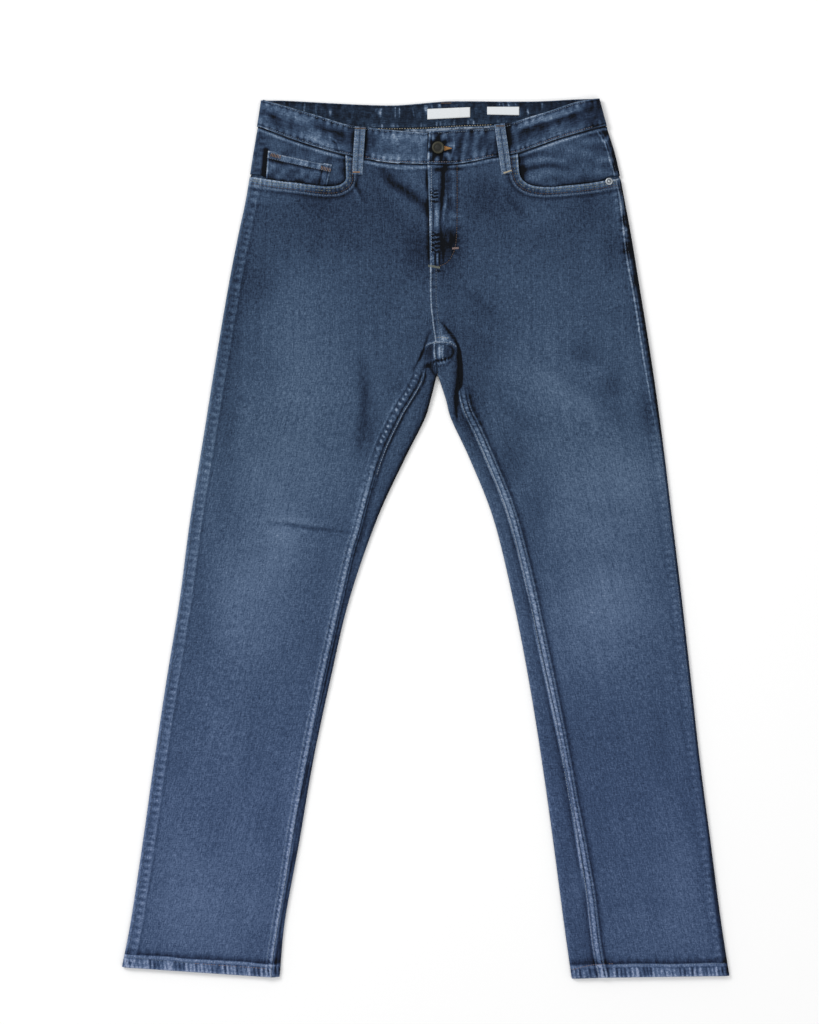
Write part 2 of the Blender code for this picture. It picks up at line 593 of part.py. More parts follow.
def zip_closed():
    """The zip under the lap, closed: two tapes, the row of teeth, and the slider at its top."""
    x_left, x_right = FLY_UNDERLAP + 0.8, FLY_UNDERLAP + 13.0
    x = np.array([x_left, x_left + 3.6, x_left + 4.2, x_left + 8.0, x_left + 8.6, x_right])
    y = np.array([346.0, 400.0, 440.0, 441.0, 449.0, 450.0, 455.0])
    plan = np.dstack(np.meshgrid(x, y))
    raised = np.zeros(plan.shape[:2])
    raised[:, 2:4] = 0.5
    raised[3:5, 2:4] = 0.8
    grid = with_height(plan, np.full(plan.shape[:2], ZIP_HEIGHT))
    cloth_solid("zip", grid, 0.9, "zip_tape", -1, raised)


def build():
    """All the pieces, from the back to the front."""
    for obj in list(bpy.data.objects):
        bpy.data.objects.remove(obj)
    for name, centre in BACK_POCKET_CENTRES.items():
        back_pocket(name, centre)
    back_panel("back_right", -1, OUTSEAM_RIGHT, INSEAM_RIGHT, LEG_EDGE_RIGHT)
    back_panel("back_left", 1, OUTSEAM_LEFT, INSEAM_LEFT, LEG_EDGE_LEFT)
    yoke("yoke_right", -1, OUTSEAM_RIGHT)
    yoke("yoke_left", 1, OUTSEAM_LEFT)
    pocket_facing("facing_right", -1, MOUTH_RIGHT, OUTSEAM_RIGHT)
    pocket_facing("facing_left", 1, MOUTH_LEFT, OUTSEAM_LEFT)
    coin_pocket()
    front_panel("front_right", -1, OUTSEAM_RIGHT, INSEAM_RIGHT, MOUTH_RIGHT, UNDERLAP_EDGE)
    front_panel("front_left", 1, OUTSEAM_LEFT, INSEAM_LEFT, MOUTH_LEFT, LAP_EDGE)
    zip_closed()
    waistband()
    for name, line in FRONT_LOOPS.items():
        belt_loop(name, line, DENIM, front_loop_height, 1)
    for name, x in BACK_LOOPS.items():
        low = waist_seam(x, False) - 8
        belt_loop(name, [(x, low), (x, low + 21), (x, low + 42)], BACK_LOOP_THICK, back_loop_height, 1)
    inner_face = BAND_BACK_HEIGHT + BAND_THICK / 2 + CLEAR
    flat_label("label_main", MAIN_LABEL, inner_face + 0.3, 0.6)
    flat_label("label_size", SIZE_LABEL, inner_face + 0.3, 0.6)
    band_top = BAND_FRONT_HEIGHT + BAND_LAP_RAISE + BAND_THICK / 2 + CLEAR
    turned_solid("button", BUTTON_AT, [(r, band_top + h) for r, h in BUTTON_PROFILE], 24, "brass")
    turned_solid("rivet", RIVET_AT, [(r, RIVET_BASE + h) for r, h in RIVET_PROFILE], 16, "steel")


build()
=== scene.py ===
"""Looks of a pair of slim fit jeans laid flat, front up, waist towards +Y.

Each piece of cloth is a fine grid on its solid's own form, with seams, puckers and creases added.
Lengths are in millimetres until a mesh is made.  Left and right are the wearer's.
"""
import math

import bpy
import numpy as np
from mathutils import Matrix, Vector
from mathutils.bvhtree import BVHTree


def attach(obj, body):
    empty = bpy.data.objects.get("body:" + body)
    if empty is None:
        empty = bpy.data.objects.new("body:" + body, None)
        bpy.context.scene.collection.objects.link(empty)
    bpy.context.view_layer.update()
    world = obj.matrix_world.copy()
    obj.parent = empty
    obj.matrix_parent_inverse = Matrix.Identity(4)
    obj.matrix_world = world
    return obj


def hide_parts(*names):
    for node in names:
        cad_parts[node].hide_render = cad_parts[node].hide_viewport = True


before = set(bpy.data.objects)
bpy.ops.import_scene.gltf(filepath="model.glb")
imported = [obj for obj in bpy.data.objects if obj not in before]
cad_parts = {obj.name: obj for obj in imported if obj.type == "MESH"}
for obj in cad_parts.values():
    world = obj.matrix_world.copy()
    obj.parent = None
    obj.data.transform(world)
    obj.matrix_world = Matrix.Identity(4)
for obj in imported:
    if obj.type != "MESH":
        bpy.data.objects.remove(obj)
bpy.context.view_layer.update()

MM = 0.001
PLAN_CENTRE = np.array([0.255, -0.785])
PIXEL = 1.235                       # millimetres of the jeans to one pixel of the photograph
PIXEL_ORIGIN = (425.5, 538.0)       # the pixel that lies at x = y = 0 of the tables below

# --- Form of the flattened tube, as in the solids ------------------------------------------------
DENIM, POCKETING, BAND_THICK = 1.2, 1.0, 2.4
SEAM_GAP, EDGE_GAP, WAIST_GAP, CLEAR = 0.18, 0.02, 0.5, 0.35
FOLD_HEIGHT, FOLD_REACH, TURN_UP = 2.0, 2.0, 1.7
TURN_DOWN = FOLD_HEIGHT - DENIM / 2
LEG_HEIGHT, HIP_HEIGHT, HIP_START, HIP_FULL = 4.6, 5.4, 180.0, 300.0
SOFT_REACH = 14.0
POCKET_LIFT, LIFT_START, LIFT_FULL = 1.4, 110.0, 215.0
LAP_RAISE, LAP_FLAT, LAP_END = 2.0, 28.0, 50.0
BAND_BACK_HEIGHT = POCKET_LIFT + BAND_THICK / 2
BAND_FRONT_HEIGHT = BAND_BACK_HEIGHT + 4.0
BAND_LAP_RAISE = 2.8
FACING_DROP = 2.0
BAND_DEPTH, COIN_WIDTH, COIN_DEPTH = 40.0, 80.0, 43.0
LABEL_THICK = 0.6

# --- Outline and seams in plan, from the hem upwards, as in the solids (x, y) --------------------
OUTSEAM_RIGHT = [(-374, -529), (-363, -472), (-348, -373), (-334, -274), (-319, -175), (-303, -77),
                 (-290, 22), (-274, 121), (-258, 220), (-241, 319), (-229, 380), (-221, 417), (-213, 467),
                 (-206.5, 506)]
OUTSEAM_LEFT = [(374.5, -539.7), (364, -472), (351, -373), (338, -274), (327, -175), (316, -77), (304, 22),
                (292, 121), (278, 220), (262, 319), (254, 368), (245, 417), (235, 467), (223, 507)]
LEG_EDGE_RIGHT = [(-180.5, -541), (-174, -472), (-156, -373), (-139, -274), (-118, -175), (-95, -77),
                  (-61, 22), (-27, 96), (-2, 146), (5.6, 170), (11.6, 194), (12.6, 198.6), (14.8, 200.7)]
LEG_EDGE_LEFT = [(181, -543.4), (171, -472), (158, -373), (144, -274), (128, -175), (109, -77), (85, 22),
                 (56, 96), (32.7, 146), (26, 170), (18.2, 194), (17.0, 198.6), (14.8, 200.7)]
SIDE_NAMES = {-1: "right", 1: "left"}       # the wearer's sides, by the sign of x
CROTCH = (12.0, 241.2)
INSEAM_RIGHT = [(-190.5, -541.5), (-186, -504), (-172.3, -422), (-156, -327), (-134, -225),
                (-112, -126), (-88, -21), (-79.5, 7), (-56, 93.5), (-32, 147.5), (-19, 169.5), (-6, 192),
                (-1.5, 212), (1.5, 232), CROTCH]
INSEAM_LEFT = [(214.5, -542), (207, -504), (197, -422), (181.8, -327), (162, -225), (140, -126),
               (119, -35), (97.5, 40), (63.5, 123), (46, 164), (40.5, 205), (36, 232), CROTCH]
RISE_SEAM = [CROTCH, (8.2, 268), (5.8, 294), (5.6, 334.7)]
FLY_TOP = 459.5
LAP_EDGE = [(5.6, 334.7), (4.6, 400), (2.4, FLY_TOP)]
UNDERLAP = [(5.6, 334.7), (14.0, 346), (14.0, FLY_TOP)]
MOUTH_RIGHT = [(-216.2, 445), (-185, 440), (-155, 436.6), (-130, 433.2), (-116.7, 432.7), (-106, 434.5),
               (-98.5, 440), (-97.8, 449), (-98.5, 471.6)]
MOUTH_LEFT = [(239.5, 443), (222, 440), (200, 436.4), (177, 434), (153, 432), (139, 432.6), (127, 435.5),
              (118.5, 442), (115, 452), (113.5, 473.8)]
BAND_FRONT_LEFT = [(2.4, 461, 4.6, 500.5), (37.7, 460.8, 42, 503.2), (80.9, 469, 84, 505.8),
                   (112, 474, 108, 512.4), (154.4, 489, 150, 525.4), (188.3, 499.4, 184, 537)]
BAND_SIDE_LEFT = (222.6, 508, 213.5, 541.6)
BAND_BACK = [(186, 505, 184, 541), (139, 502, 139, 538.5), (82, 501, 82, 538.4), (24, 500.5, 24, 538.4),
             (-35, 500.5, -35, 533.6), (-92, 501, -92, 535), (-147, 503, -147, 538),
             (-178, 505, -178, 539.5)]
BAND_SIDE_RIGHT = (-206.8, 507, -201.8, 539.6)
BAND_FRONT_RIGHT = [(-167.3, 492.6, -164, 530), (-126.6, 479.4, -122, 517.2), (-98, 472.2, -94, 509),
                    (-47.5, 462.4, -46, 503.4), (0.6, 460.7, 0.6, 499.6), (24, 460.5, 24, 499.4)]
CENTRE_BACK_X, YOKE_CENTRE_Y, YOKE_SIDE_Y = 12.0, 425.0, 455.0
COIN_CORNERS = [(-194, 477.3), (-115.5, 459.9), (-124, 424.5), (-197, 436)]
LOOP_WIDTH = 12.5
FRONT_LOOPS = {"loop_front_right": [(-84, 447.7), (-82.5, 474), (-80.3, 506.3)],
               "loop_front_left": [(100, 448.5), (96, 476), (91, 510)]}
LOOP_BOW = 0.8
BUTTON_AT = (15.4, 480.4)
RIVET_AT, RIVET_BASE = (226.0, 439.2), 8.9
MAIN_LABEL = [(2.3, 516.2), (55, 518.9), (55, 531.3), (2.3, 529.1)]
SIZE_LABEL = [(76, 522.2), (115.5, 521.4), (115.5, 531.8), (76, 531.8)]

# Broad folds that the solids have too: from, to, half width, height
FOLDS = [
    ((134, 224), (262, 130), 26, -1.0),
    ((150, 182), (252, 108), 20, 0.8),
    ((-196, 20), (-92, 5), 8, -0.9),
    ((-52, 452), (-6, 384), 16, -0.6),
    ((-78, 212), (-74, 108), 14, -0.7),
    ((250, -90), (262, -300), 40, 0.7),
    ((-215, -70), (-250, -290), 40, 0.7),
]

# Creases, in photograph pixels: path, half width in mm, height in mm, light (+) or dark (-)
CREASES = [
    # crotch: the crease over the slit, the right leg's crease, and the tuck under the cross seam
    ([(441, 323), (444, 326), (448.4, 331.4), (453.4, 338), (457.4, 345)], 1.4, -0.9, -1.8),
    ([(430, 331), (427, 339), (424, 348), (421, 356), (417, 364), (412, 373)], 1.4, -1.1, -1.0),
    ([(424.4, 349), (421.6, 355), (419, 361)], 1.7, -0.6, -1.2),
    ([(424, 368.4), (429, 365), (435, 361.6), (442, 360.4), (449, 358.6), (452.6, 355), (452.8, 350),
      (450.4, 345.6)],
     1.1, -1.1, -1.8),
    ([(434, 364.8), (440, 363.4), (446, 361.6), (451, 358.4)], 1.0, 0.3, 1.1),
    ([(431, 367.6), (440, 366.2), (448, 363.8), (452.6, 360)], 1.1, -0.3, -0.7),
    ([(429, 368), (432, 371), (436, 376.4)], 1.2, -0.7, -0.9),
    ([(425.4, 347.4), (428, 344.6), (432, 343.2), (440, 342.6), (447, 342.6)], 0.8, 0.5, 1.2),
    ([(446, 351), (446.6, 346), (449, 342.4), (453, 343.2), (456.6, 349)], 0.8, 0.5, 0.9),
    ([(434.6, 342), (434.2, 352), (434.6, 362)], 0.9, 0.4, 1.7),
    ([(442.6, 344), (442.8, 352), (442.6, 358)], 0.9, 0.4, 1.3),
    ([(439.2, 345), (439.2, 352), (439.4, 358)], 1.0, 0.3, 1.1),
    # fly: wrinkles of the placket
    ([(446.4, 196), (445.2, 206), (443.8, 216), (443.2, 226)], 0.9, 0.3, 0.8),
    ([(446, 199), (450, 196.6), (456, 196), (460, 194.6)], 1.2, 0.2, 0.6),
    # waistband: light wrinkles at the buttonhole, dark and light folds towards the wearer's right
    ([(445.6, 137), (447, 141), (448.4, 146)], 0.9, 0.2, 0.8),
    ([(453.4, 137), (453.8, 148), (450.6, 160)], 0.9, 0.25, 0.8),
    ([(444.4, 152), (443.6, 157), (443.8, 162)], 0.8, 0.2, 0.7),
    ([(447, 153), (449.6, 160)], 0.8, 0.2, 0.5),
    ([(440.5, 156), (440.8, 163)], 1.4, -0.2, -0.9),
    ([(262, 113.5), (270, 115.5), (281, 121)], 2.6, -0.3, -0.8),
    ([(318, 129), (330, 131.5), (346, 136)], 3.4, -0.2, -0.8),
    ([(300, 134), (318, 142), (334, 149)], 4.6, 0.2, 0.6),
    ([(329, 138), (336, 142), (339.4, 150)], 1.0, 0.3, 0.9),
    ([(332, 141), (337, 145), (338.4, 153)], 1.3, -0.4, -0.9),
    # under the waistband, and across the left pocket's facing
    ([(366, 163.4), (383, 167), (405, 169.6), (426, 168.8)], 1.3, 0.35, 1.0),
    ([(516, 167), (530, 161.6), (545, 159.6), (562, 161)], 2.6, 0.2, 0.5),
    ([(519, 172.6), (535, 168), (552, 166), (572, 171)], 3.2, -0.2, -0.6),
    ([(524, 153), (545, 149), (566, 143)], 2.0, 0.1, 0.35),
    # hips
    ([(382, 171), (392, 183), (406, 192), (427, 208)], 6.0, -1.1, -0.95),
    ([(349, 179), (355, 191), (359, 202)], 1.6, 0.2, 0.35),
    ([(400, 166), (412, 178), (426, 187)], 7.0, 0.6, 0.2),
    ([(352, 177), (358, 189), (364, 201)], 2.4, -0.6, -0.6),
    ([(372, 183), (386, 208), (404, 228)], 9.0, -0.5, -0.15),
    ([(300, 205), (322, 210), (346, 207)], 8.0, -0.5, -0.1),
    ([(505, 190), (512, 204), (524, 216)], 4.0, -0.5, -0.3),
    ([(460, 290), (478, 300), (495, 318)], 6.0, -0.6, -0.2),
    ([(462, 315), (480, 330), (500, 338)], 7.0, 0.5, 0.12),
    ([(420, 280), (408, 305), (398, 335)], 9.0, 0.4, 0.1),
    # thighs
    ([(361, 362), (364.5, 390), (364.5, 412), (359, 452)], 7.0, -0.6, -0.55),
    ([(316, 441), (324, 446), (332, 452)], 2.6, -0.3, -0.15),
    ([(536, 357), (560, 372), (590, 392), (634, 428)], 13.0, -0.6, -0.18),
    ([(556, 352), (590, 372), (640, 388)], 11.0, 0.4, 0.08),
    ([(500, 400), (520, 420), (548, 434)], 8.0, -0.4, -0.12),
    ([(470, 420), (484, 452), (500, 484)], 6.0, 0.4, 0.1),
    ([(234, 380), (262, 392), (300, 398)], 10.0, 0.35, 0.06),
    # knees
    ([(268, 523), (288, 524.5), (308, 528), (332, 530), (351, 533.5)], 2.2, -0.55, -0.55),
    ([(270, 518), (300, 521), (340, 527)], 4.5, 0.35, 0.15),
    ([(240, 556), (270, 548), (300, 552)], 7.0, -0.3, -0.1),
    ([(568, 500), (600, 512), (640, 508)], 8.0, -0.35, -0.1),
    ([(560, 548), (592, 540), (630, 548)], 9.0, 0.3, 0.06),
    # shins
    ([(190, 690), (215, 720), (232, 770)], 14.0, 0.4, 0.06),
    ([(262, 700), (250, 760), (236, 830)], 14.0, -0.4, -0.07),
    ([(590, 700), (612, 760), (622, 840)], 14.0, 0.4, 0.06),
    ([(660, 690), (668, 770), (690, 850)], 14.0, -0.4, -0.07),
    ([(150, 885), (190, 880), (240, 886)], 9.0, -0.3, -0.08),
    ([(600, 905), (650, 900), (700, 908)], 9.0, -0.3, -0.08),
]

# Creases of the hidden side, in plan and millimetres: path, half width, height over the surface, shade
UNDER_CREASES = [
    ([(-232, 62), (-180, 70), (-120, 60)], 5.0, 0.6, -0.5),
    ([(-240, 38), (-176, 40), (-118, 26)], 4.0, 0.5, -0.4),
    ([(-226, 4), (-180, 14), (-130, 8)], 6.0, 0.4, -0.3),
    ([(118, 40), (190, 52), (272, 44)], 5.0, 0.6, -0.5),
    ([(132, 16), (196, 22), (264, 10)], 4.0, 0.5, -0.4),
    ([(146, -14), (200, -6), (270, -16)], 6.0, 0.4, -0.3),
    ([(4, 232), (-40, 226), (-96, 214)], 7.0, 0.5, -0.4),
    ([(22, 228), (70, 224), (130, 210)], 7.0, 0.5, -0.4),
    ([(-10, 300), (-22, 262), (-50, 226)], 6.0, 0.4, -0.3),
    ([(34, 300), (46, 262), (76, 224)], 6.0, 0.4, -0.3),
    ([(-300, -330), (-250, -322), (-190, -332)], 9.0, 0.4, -0.2),
    ([(188, -300), (250, -310), (318, -298)], 9.0, 0.4, -0.2),
]

# Washing, in photograph pixels: centre, half widths, lightness.  The places are listed one by one,
# and the strengths are tuned to the photograph, so some of its light and shade is in them too.
# The lightness of the entries is partly washing and partly painted light and shade.
WASH_AND_SHADE = [
    ((300, 350), (46, 85), 0.26), ((243, 600), (48, 62), 0.46), ((200, 905), (60, 70), 0.40),
    ((225, 790), (60, 110), 0.18), ((548, 335), (44, 60), 0.14), ((600, 610), (48, 62), 0.56),
    ((660, 910), (60, 70), 0.16), ((310, 225), (95, 48), -0.42), ((555, 225), (95, 44), -0.32),
    ((578, 402), (26, 18), 0.32), ((500, 430), (40, 60), -0.05), ((625, 760), (60, 70), -0.04),
    ((232, 310), (14, 75), -0.40), ((395, 330), (34, 70), -0.14), ((480, 350), (26, 60), -0.36),
    ((275, 480), (56, 48), 0.34), ((600, 478), (78, 44), 0.36), ((486, 196), (26, 22), -0.5),
    ((400, 388), (14, 12), -0.25),
    # seat and fly: darker, mostly painted shade
    ((420, 254), (15, 28), -0.55), ((446, 262), (14, 34), -0.4), ((440, 334), (18, 26), -0.3),
    ((441, 186), (12, 22), -0.6), ((452, 240), (11, 15), -0.3), ((262, 285), (14, 24), -0.2),
    ((325, 197), (26, 18), -0.28), ((390, 172), (34, 11), -0.25), ((588, 196), (14, 30), -0.22),
    ((537, 218), (18, 13), 0.25), ((612, 250), (9, 22), -0.3), ((250, 280), (20, 34), -0.28),
    # thighs
    ((225, 420), (13, 80), -0.3), ((372, 436), (11, 34), -0.3), ((468, 408), (13, 34), -0.3),
    ((512, 462), (15, 26), -0.45), ((538, 505), (13, 42), -0.35), ((550, 380), (18, 16), 0.3),
    ((612, 384), (12, 13), -0.35), ((586, 356), (15, 13), -0.3), ((508, 368), (24, 18), 0.2),
    ((650, 414), (13, 20), -0.3), ((262, 372), (20, 26), -0.2), ((346, 240), (12, 20), -0.2),
    ((446, 246), (12, 12), -0.2), ((520, 530), (12, 26), -0.2), ((470, 425), (12, 30), -0.2),
    ((652, 410), (12, 20), -0.2), ((574, 352), (14, 14), -0.2), ((612, 386), (12, 12), -0.2),
    # knees and shins
    ((690, 880), (12, 60), 0.1), ((215, 830), (20, 60), -0.14), ((612, 750), (26, 60), -0.12),
    ((576, 890), (10, 24), 0.3), ((282, 544), (25, 28), 0.36), ((203, 600), (15, 75), -0.2),
    ((290, 800), (9, 60), 0.25), ((676, 850), (13, 95), 0.15),
    # last corrections, fitted to the photograph's brightness
    ((430, 245), (40, 24), -0.22), ((452, 395), (18, 45), -0.22), ((262, 192), (24, 14), 0.24),
    ((278, 530), (24, 34), 0.15), ((585, 520), (45, 24), 0.13), ((375, 205), (30, 26), -0.14),
]


# --- Small geometry helpers ----------------------------------------------------------------------
def smoothstep(value):
    """0 below 0, 1 above 1, and an S-shaped rise between."""
    t = np.clip(value, 0.0, 1.0)
    return t * t * (3.0 - 2.0 * t)


def bell(value, width):
    """1 where the value is 0, and a soft fall to 0 on both sides."""
    return np.exp(-(value / width) ** 2)


def pick(curve, fractions):
    """Points at the given fractions of the length of a polyline."""
    steps = np.linalg.norm(np.diff(curve, axis=0), axis=1)
    run = np.concatenate([[0], np.cumsum(steps)])
    return np.stack([np.interp(np.asarray(fractions) * run[-1], run, curve[:, k])
                     for k in range(curve.shape[1])], axis=1)


def smooth_curve(points, count):
    """A Catmull-Rom curve through the points, as count points evenly spaced along it."""
    p = np.asarray(points, float)
    p = np.vstack([2 * p[0] - p[1], p, 2 * p[-1] - p[-2]])
    t = np.linspace(0, 1, 24, endpoint=False)[:, None]
    parts = []
    for a, b, c, d in zip(p[:-3], p[1:-2], p[2:-1], p[3:]):
        parts.append(0.5 * (2 * b + (c - a) * t + (2 * a - 5 * b + 4 * c - d) * t ** 2
                            + (3 * b - a - 3 * c + d) * t ** 3))
    dense = np.vstack(parts + [p[-2:-1]])
    return pick(dense, np.linspace(0, 1, count))


def from_photo(pixels):
    """Photograph pixels to millimetres in plan."""
    p = np.asarray(pixels, float)
    return np.stack([(p[:, 0] - PIXEL_ORIGIN[0]) * PIXEL, (PIXEL_ORIGIN[1] - p[:, 1]) * PIXEL], axis=1)


def along_line(curve, x, y):
    """For each point its signed distance from a polyline (left is positive) and the length along
    the polyline at the nearest place."""
    a, b = curve[:-1], curve[1:]
    ab = b - a
    length = np.linalg.norm(ab, axis=1)
    run = np.concatenate([[0], np.cumsum(length)])[:-1]
    flat_x, flat_y = x.ravel(), y.ravel()
    best = np.full(flat_x.shape, 1e9)
    side, where = np.zeros_like(best), np.zeros_like(best)
    for k in range(len(a)):
        px, py = flat_x - a[k, 0], flat_y - a[k, 1]
        t = np.clip((px * ab[k, 0] + py * ab[k, 1]) / length[k] ** 2, 0, 1)
        qx, qy = px - t * ab[k, 0], py - t * ab[k, 1]
        d = qx * qx + qy * qy
        near = d < best
        best = np.where(near, d, best)
        side = np.where(near, ab[k, 0] * py - ab[k, 1] * px, side)
        where = np.where(near, run[k] + t * length[k], where)
    signed = np.sqrt(best) * np.where(side < 0, -1.0, 1.0)
    return signed.reshape(x.shape), where.reshape(x.shape)


def shift_sideways(points, amount):
    """Moves an open polyline to its left by amount, square to its own direction."""
    step = np.diff(points, axis=0)
    step /= np.linalg.norm(step, axis=1)[:, None]
    before, after = np.vstack([step[:1], step]), np.vstack([step, step[-1:]])
    mean = before + after
    mean /= np.linalg.norm(mean, axis=1)[:, None]
    spread = np.clip(np.sum(mean * after, axis=1), 0.6, 1.0)
    return points + amount * np.stack([-mean[:, 1], mean[:, 0]], axis=1) / spread[:, None]


def soft_noise(x, y, size, seed):
    """Smooth noise from -1 to 1: random values on a square lattice of the given size, blended."""
    values = np.random.default_rng(seed).uniform(-1, 1, (64, 64))
    u, v = x / size + 500.3, y / size + 500.7
    i, j = np.floor(u).astype(int), np.floor(v).astype(int)
    s, t = smoothstep(u - i), smoothstep(v - j)
    i, j = i % 64, j % 64
    k, m = (i + 1) % 64, (j + 1) % 64
    return ((values[i, j] * (1 - s) + values[k, j] * s) * (1 - t)
            + (values[i, m] * (1 - s) + values[k, m] * s) * t)


# --- Form of the cloth ---------------------------------------------------------------------------
SIDES = [smooth_curve(line, 100) for line in
         (OUTSEAM_RIGHT, OUTSEAM_LEFT, LEG_EDGE_RIGHT, LEG_EDGE_LEFT)]


def side_distance(x, y):
    """How far a point lies in from the nearest folded side of the jeans."""
    return np.min([abs(along_line(side, x, y)[0]) for side in SIDES], axis=0)


def turn(distance):
    """The tight turn at a side: a quarter of an ellipse, upright where it starts."""
    t = 1.0 - np.clip(distance / FOLD_REACH, 0.0, 1.0)
    return np.sqrt(1.0 - t * t)


def soft_rise(distance):
    """The upper layer goes on rising softly inside the tight turn."""
    t = 1.0 - np.clip(distance / SOFT_REACH, 0.0, 1.0)
    return 1.0 - t * t


def lift(y):
    """The seat is held up by the back pockets and loops, and slopes down to the legs."""
    return POCKET_LIFT * smoothstep((y - LIFT_START) / (LIFT_FULL - LIFT_START))


def broad_folds(x, y):
    """Each fold is a soft trough or ridge that dies out at both ends."""
    relief = np.zeros_like(x)
    for start, end, half_width, height in FOLDS:
        start, end = np.array(start, float), np.array(end, float)
        along = end - start
        length = np.linalg.norm(along)
        along /= length
        u = ((x - start[0]) * along[0] + (y - start[1]) * along[1]) / length
        v = (x - start[0]) * along[1] - (y - start[1]) * along[0]
        relief += height * np.sin(np.pi * np.clip(u, 0, 1)) ** 0.7 * bell(v, half_width)
    return relief


def mouth_raise(x, y):
    """The front stands a little higher over the pockets."""
    raised = np.zeros_like(x)
    for centre_x in (-150.0, 170.0):
        raised += 0.8 * (smoothstep((95 - abs(x - centre_x)) / 25) * smoothstep((y - 385) / 35))
    return raised


def upper_height(x, y, d, drop=0.0):
    """Middle of the cloth in the upper layer, or of a plain layer that lies drop under it."""
    top = LEG_HEIGHT + (HIP_HEIGHT - LEG_HEIGHT) * smoothstep((y - HIP_START) / (HIP_FULL - HIP_START))
    relief = -drop if drop else mouth_raise(x, y) + broad_folds(x, y)
    return lift(y) + FOLD_HEIGHT + TURN_UP * turn(d) + (top - FOLD_HEIGHT - TURN_UP + relief) * soft_rise(d)


def lower_height(y, d):
    """Middle of the cloth in the layer that rests on the surface."""
    return lift(y) + FOLD_HEIGHT - TURN_DOWN * turn(d)


def lap_raise(x, y):
    """The left front rises over the fly, where it lies on the right one."""
    return LAP_RAISE * smoothstep((y - 298) / 34) * (1.0 - smoothstep((x - LAP_FLAT) / (LAP_END - LAP_FLAT)))


def creases(x, y, hidden=False):
    """Height and painted light and shade of the creases: a bell curve across each path, uneven along
    it and dying out at both ends."""
    height, shade = np.zeros_like(x), np.zeros_like(x)
    for number, (path, half_width, depth, tone) in enumerate(UNDER_CREASES if hidden else CREASES):
        line = smooth_curve(path if hidden else from_photo(path), 40)
        total = np.linalg.norm(np.diff(line, axis=0), axis=1).sum()
        low, high = line.min(axis=0) - 4 * half_width, line.max(axis=0) + 4 * half_width
        near = (x > low[0]) & (x < high[0]) & (y > low[1]) & (y < high[1])
        if not near.any():
            continue
        distance, run = along_line(line, x[near], y[near])
        uneven = 1.0 + 0.25 * soft_noise(run, np.full_like(run, number * 7.0), 9.0, number)
        beyond = bell(distance, half_width * uneven)
        fade = np.sin(np.pi * np.clip(0.06 + 0.88 * run / total, 0, 1)) ** 0.6
        height[near] += depth * beyond * fade * uneven
        shade[near] += tone * beyond * fade
    return height, shade


def surface_play(x, y):
    """The slight unevenness of handled cloth: three sizes of soft noise."""
    return (0.28 * soft_noise(x, y, 61.0, 11) + 0.13 * soft_noise(x + 0.4 * y, y, 23.0, 12)
            + 0.05 * soft_noise(x, y, 8.0, 13))


def puckers(run, pitch, seed):
    """Uneven waves along a seam, from -1 to 1: their length and strength wander."""
    phase = run / pitch + 0.45 * soft_noise(run, 0 * run, pitch * 2.3, seed)
    strength = 0.65 + 0.35 * soft_noise(run, 0 * run + 40, pitch * 3.1, seed + 1)
    return np.sin(2 * np.pi * phase) * strength


def band_profile(distance, knots):
    """A seam's section: height, or shade, at distances from the seam, joined by straight lines."""
    at, value = zip(*knots)
    return np.interp(distance, at, value)


# Sections across seams: (distance from the seam in mm, height in mm) and (distance, shade).
# The right inseam's section is beaded near the crotch and plain lower down.
# Every shade section is painted light and shade: dark in the seams' crevices and beyond their steps, and
# light on ridges and edges, partly wear and partly painted highlight.
FELLED = {-1: [(-5.0, 0), (-3.2, -0.4), (-2.0, -0.1), (-0.8, 0.4), (0.8, 0.3), (2.2, 0.1), (4.2, 0.6),
               (9.5, 0.8), (12.4, 0.5), (14.2, 0.2), (16, 0)],
          1: [(-1.5, -0.2), (-0.3, 0.3), (0.8, 0.75), (8.2, 0.8), (9.6, 0.5), (11, -0.3), (14, -0.2),
              (17, 0)]}
BEADED_SHADE = [(-6, 0), (-4.4, -0.4), (-3.2, -1.3), (-2.2, -1.1), (-1.3, 0.6), (-0.2, 0.8), (0.6, 0.0),
                (1.4, -0.8), (2.6, -0.8), (4.0, -0.1), (5.0, 0.1), (10, 0.0), (11.6, -0.2), (12.6, -0.1),
                (13.6, 0.45), (14.6, 0.3), (16, 0)]
PLAIN_SHADE = [(-6, 0), (-4, -0.3), (-2.6, -0.5), (-1.8, 0.1), (-0.8, -0.2), (0, -0.9), (1.2, -0.2),
               (2.2, -0.3), (3.0, -0.9), (4.0, 0.2), (4.8, 0.6), (7.4, 0.75), (8.6, 0.2), (9.6, -0.1),
               (10.6, 0.15), (11.6, 0.45), (12.6, 0.3), (13.6, 0.0), (16, 0)]
LEFT_SHADE = [(-9, 0), (-4, -0.25), (-1.6, -0.6), (-0.7, 1.1), (0.5, 1.2), (1.3, 0.0), (2.2, 0.1),
              (3.2, 0.7), (6.0, 0.7), (7.0, -0.2), (8.0, -0.3), (8.8, 0.2), (9.8, 0.4), (10.6, -0.5),
              (12, -0.7), (14.5, -0.25), (18, 0)]
# How far the light edge lies from the seam along each inseam: rows of the photograph, mm
RIDGE_SHIFT = {-1: ([680, 740, 800, 880], [0, 1.4, 3.4, 4.6]),
               1: ([415, 440, 500, 600, 700, 800, 900], [1.1, 0, -0.5, 0.7, 2.7, 3.9, 0.6])}
FELLED_TOP = {-1: 212.0, 1: 188.0}        # where the felled ridge comes out of the folds of the crotch
ALLOWANCE = [(0, 0), (2, 0.25), (4, 0.5), (12.5, 0.5), (15.5, 0)]
MOUTH_FORM = [(0, 0.1), (0.8, 0.5), (1.8, 0.3), (3.0, 0.62), (7.4, 0.62), (8.4, 0.3), (9.3, 0.5), (11, 0.0)]
MOUTH_SHADE = [(0, 0.8), (0.8, 1.2), (1.8, 0.9), (2.6, 0.6), (4.2, 0.75), (6.2, 0.6), (7.6, 0.1),
               (8.8, -0.1), (9.8, 0.3), (11.0, 0.5), (12.0, 0.1), (13.2, -0.6), (15.5, -0.3), (18, 0)]
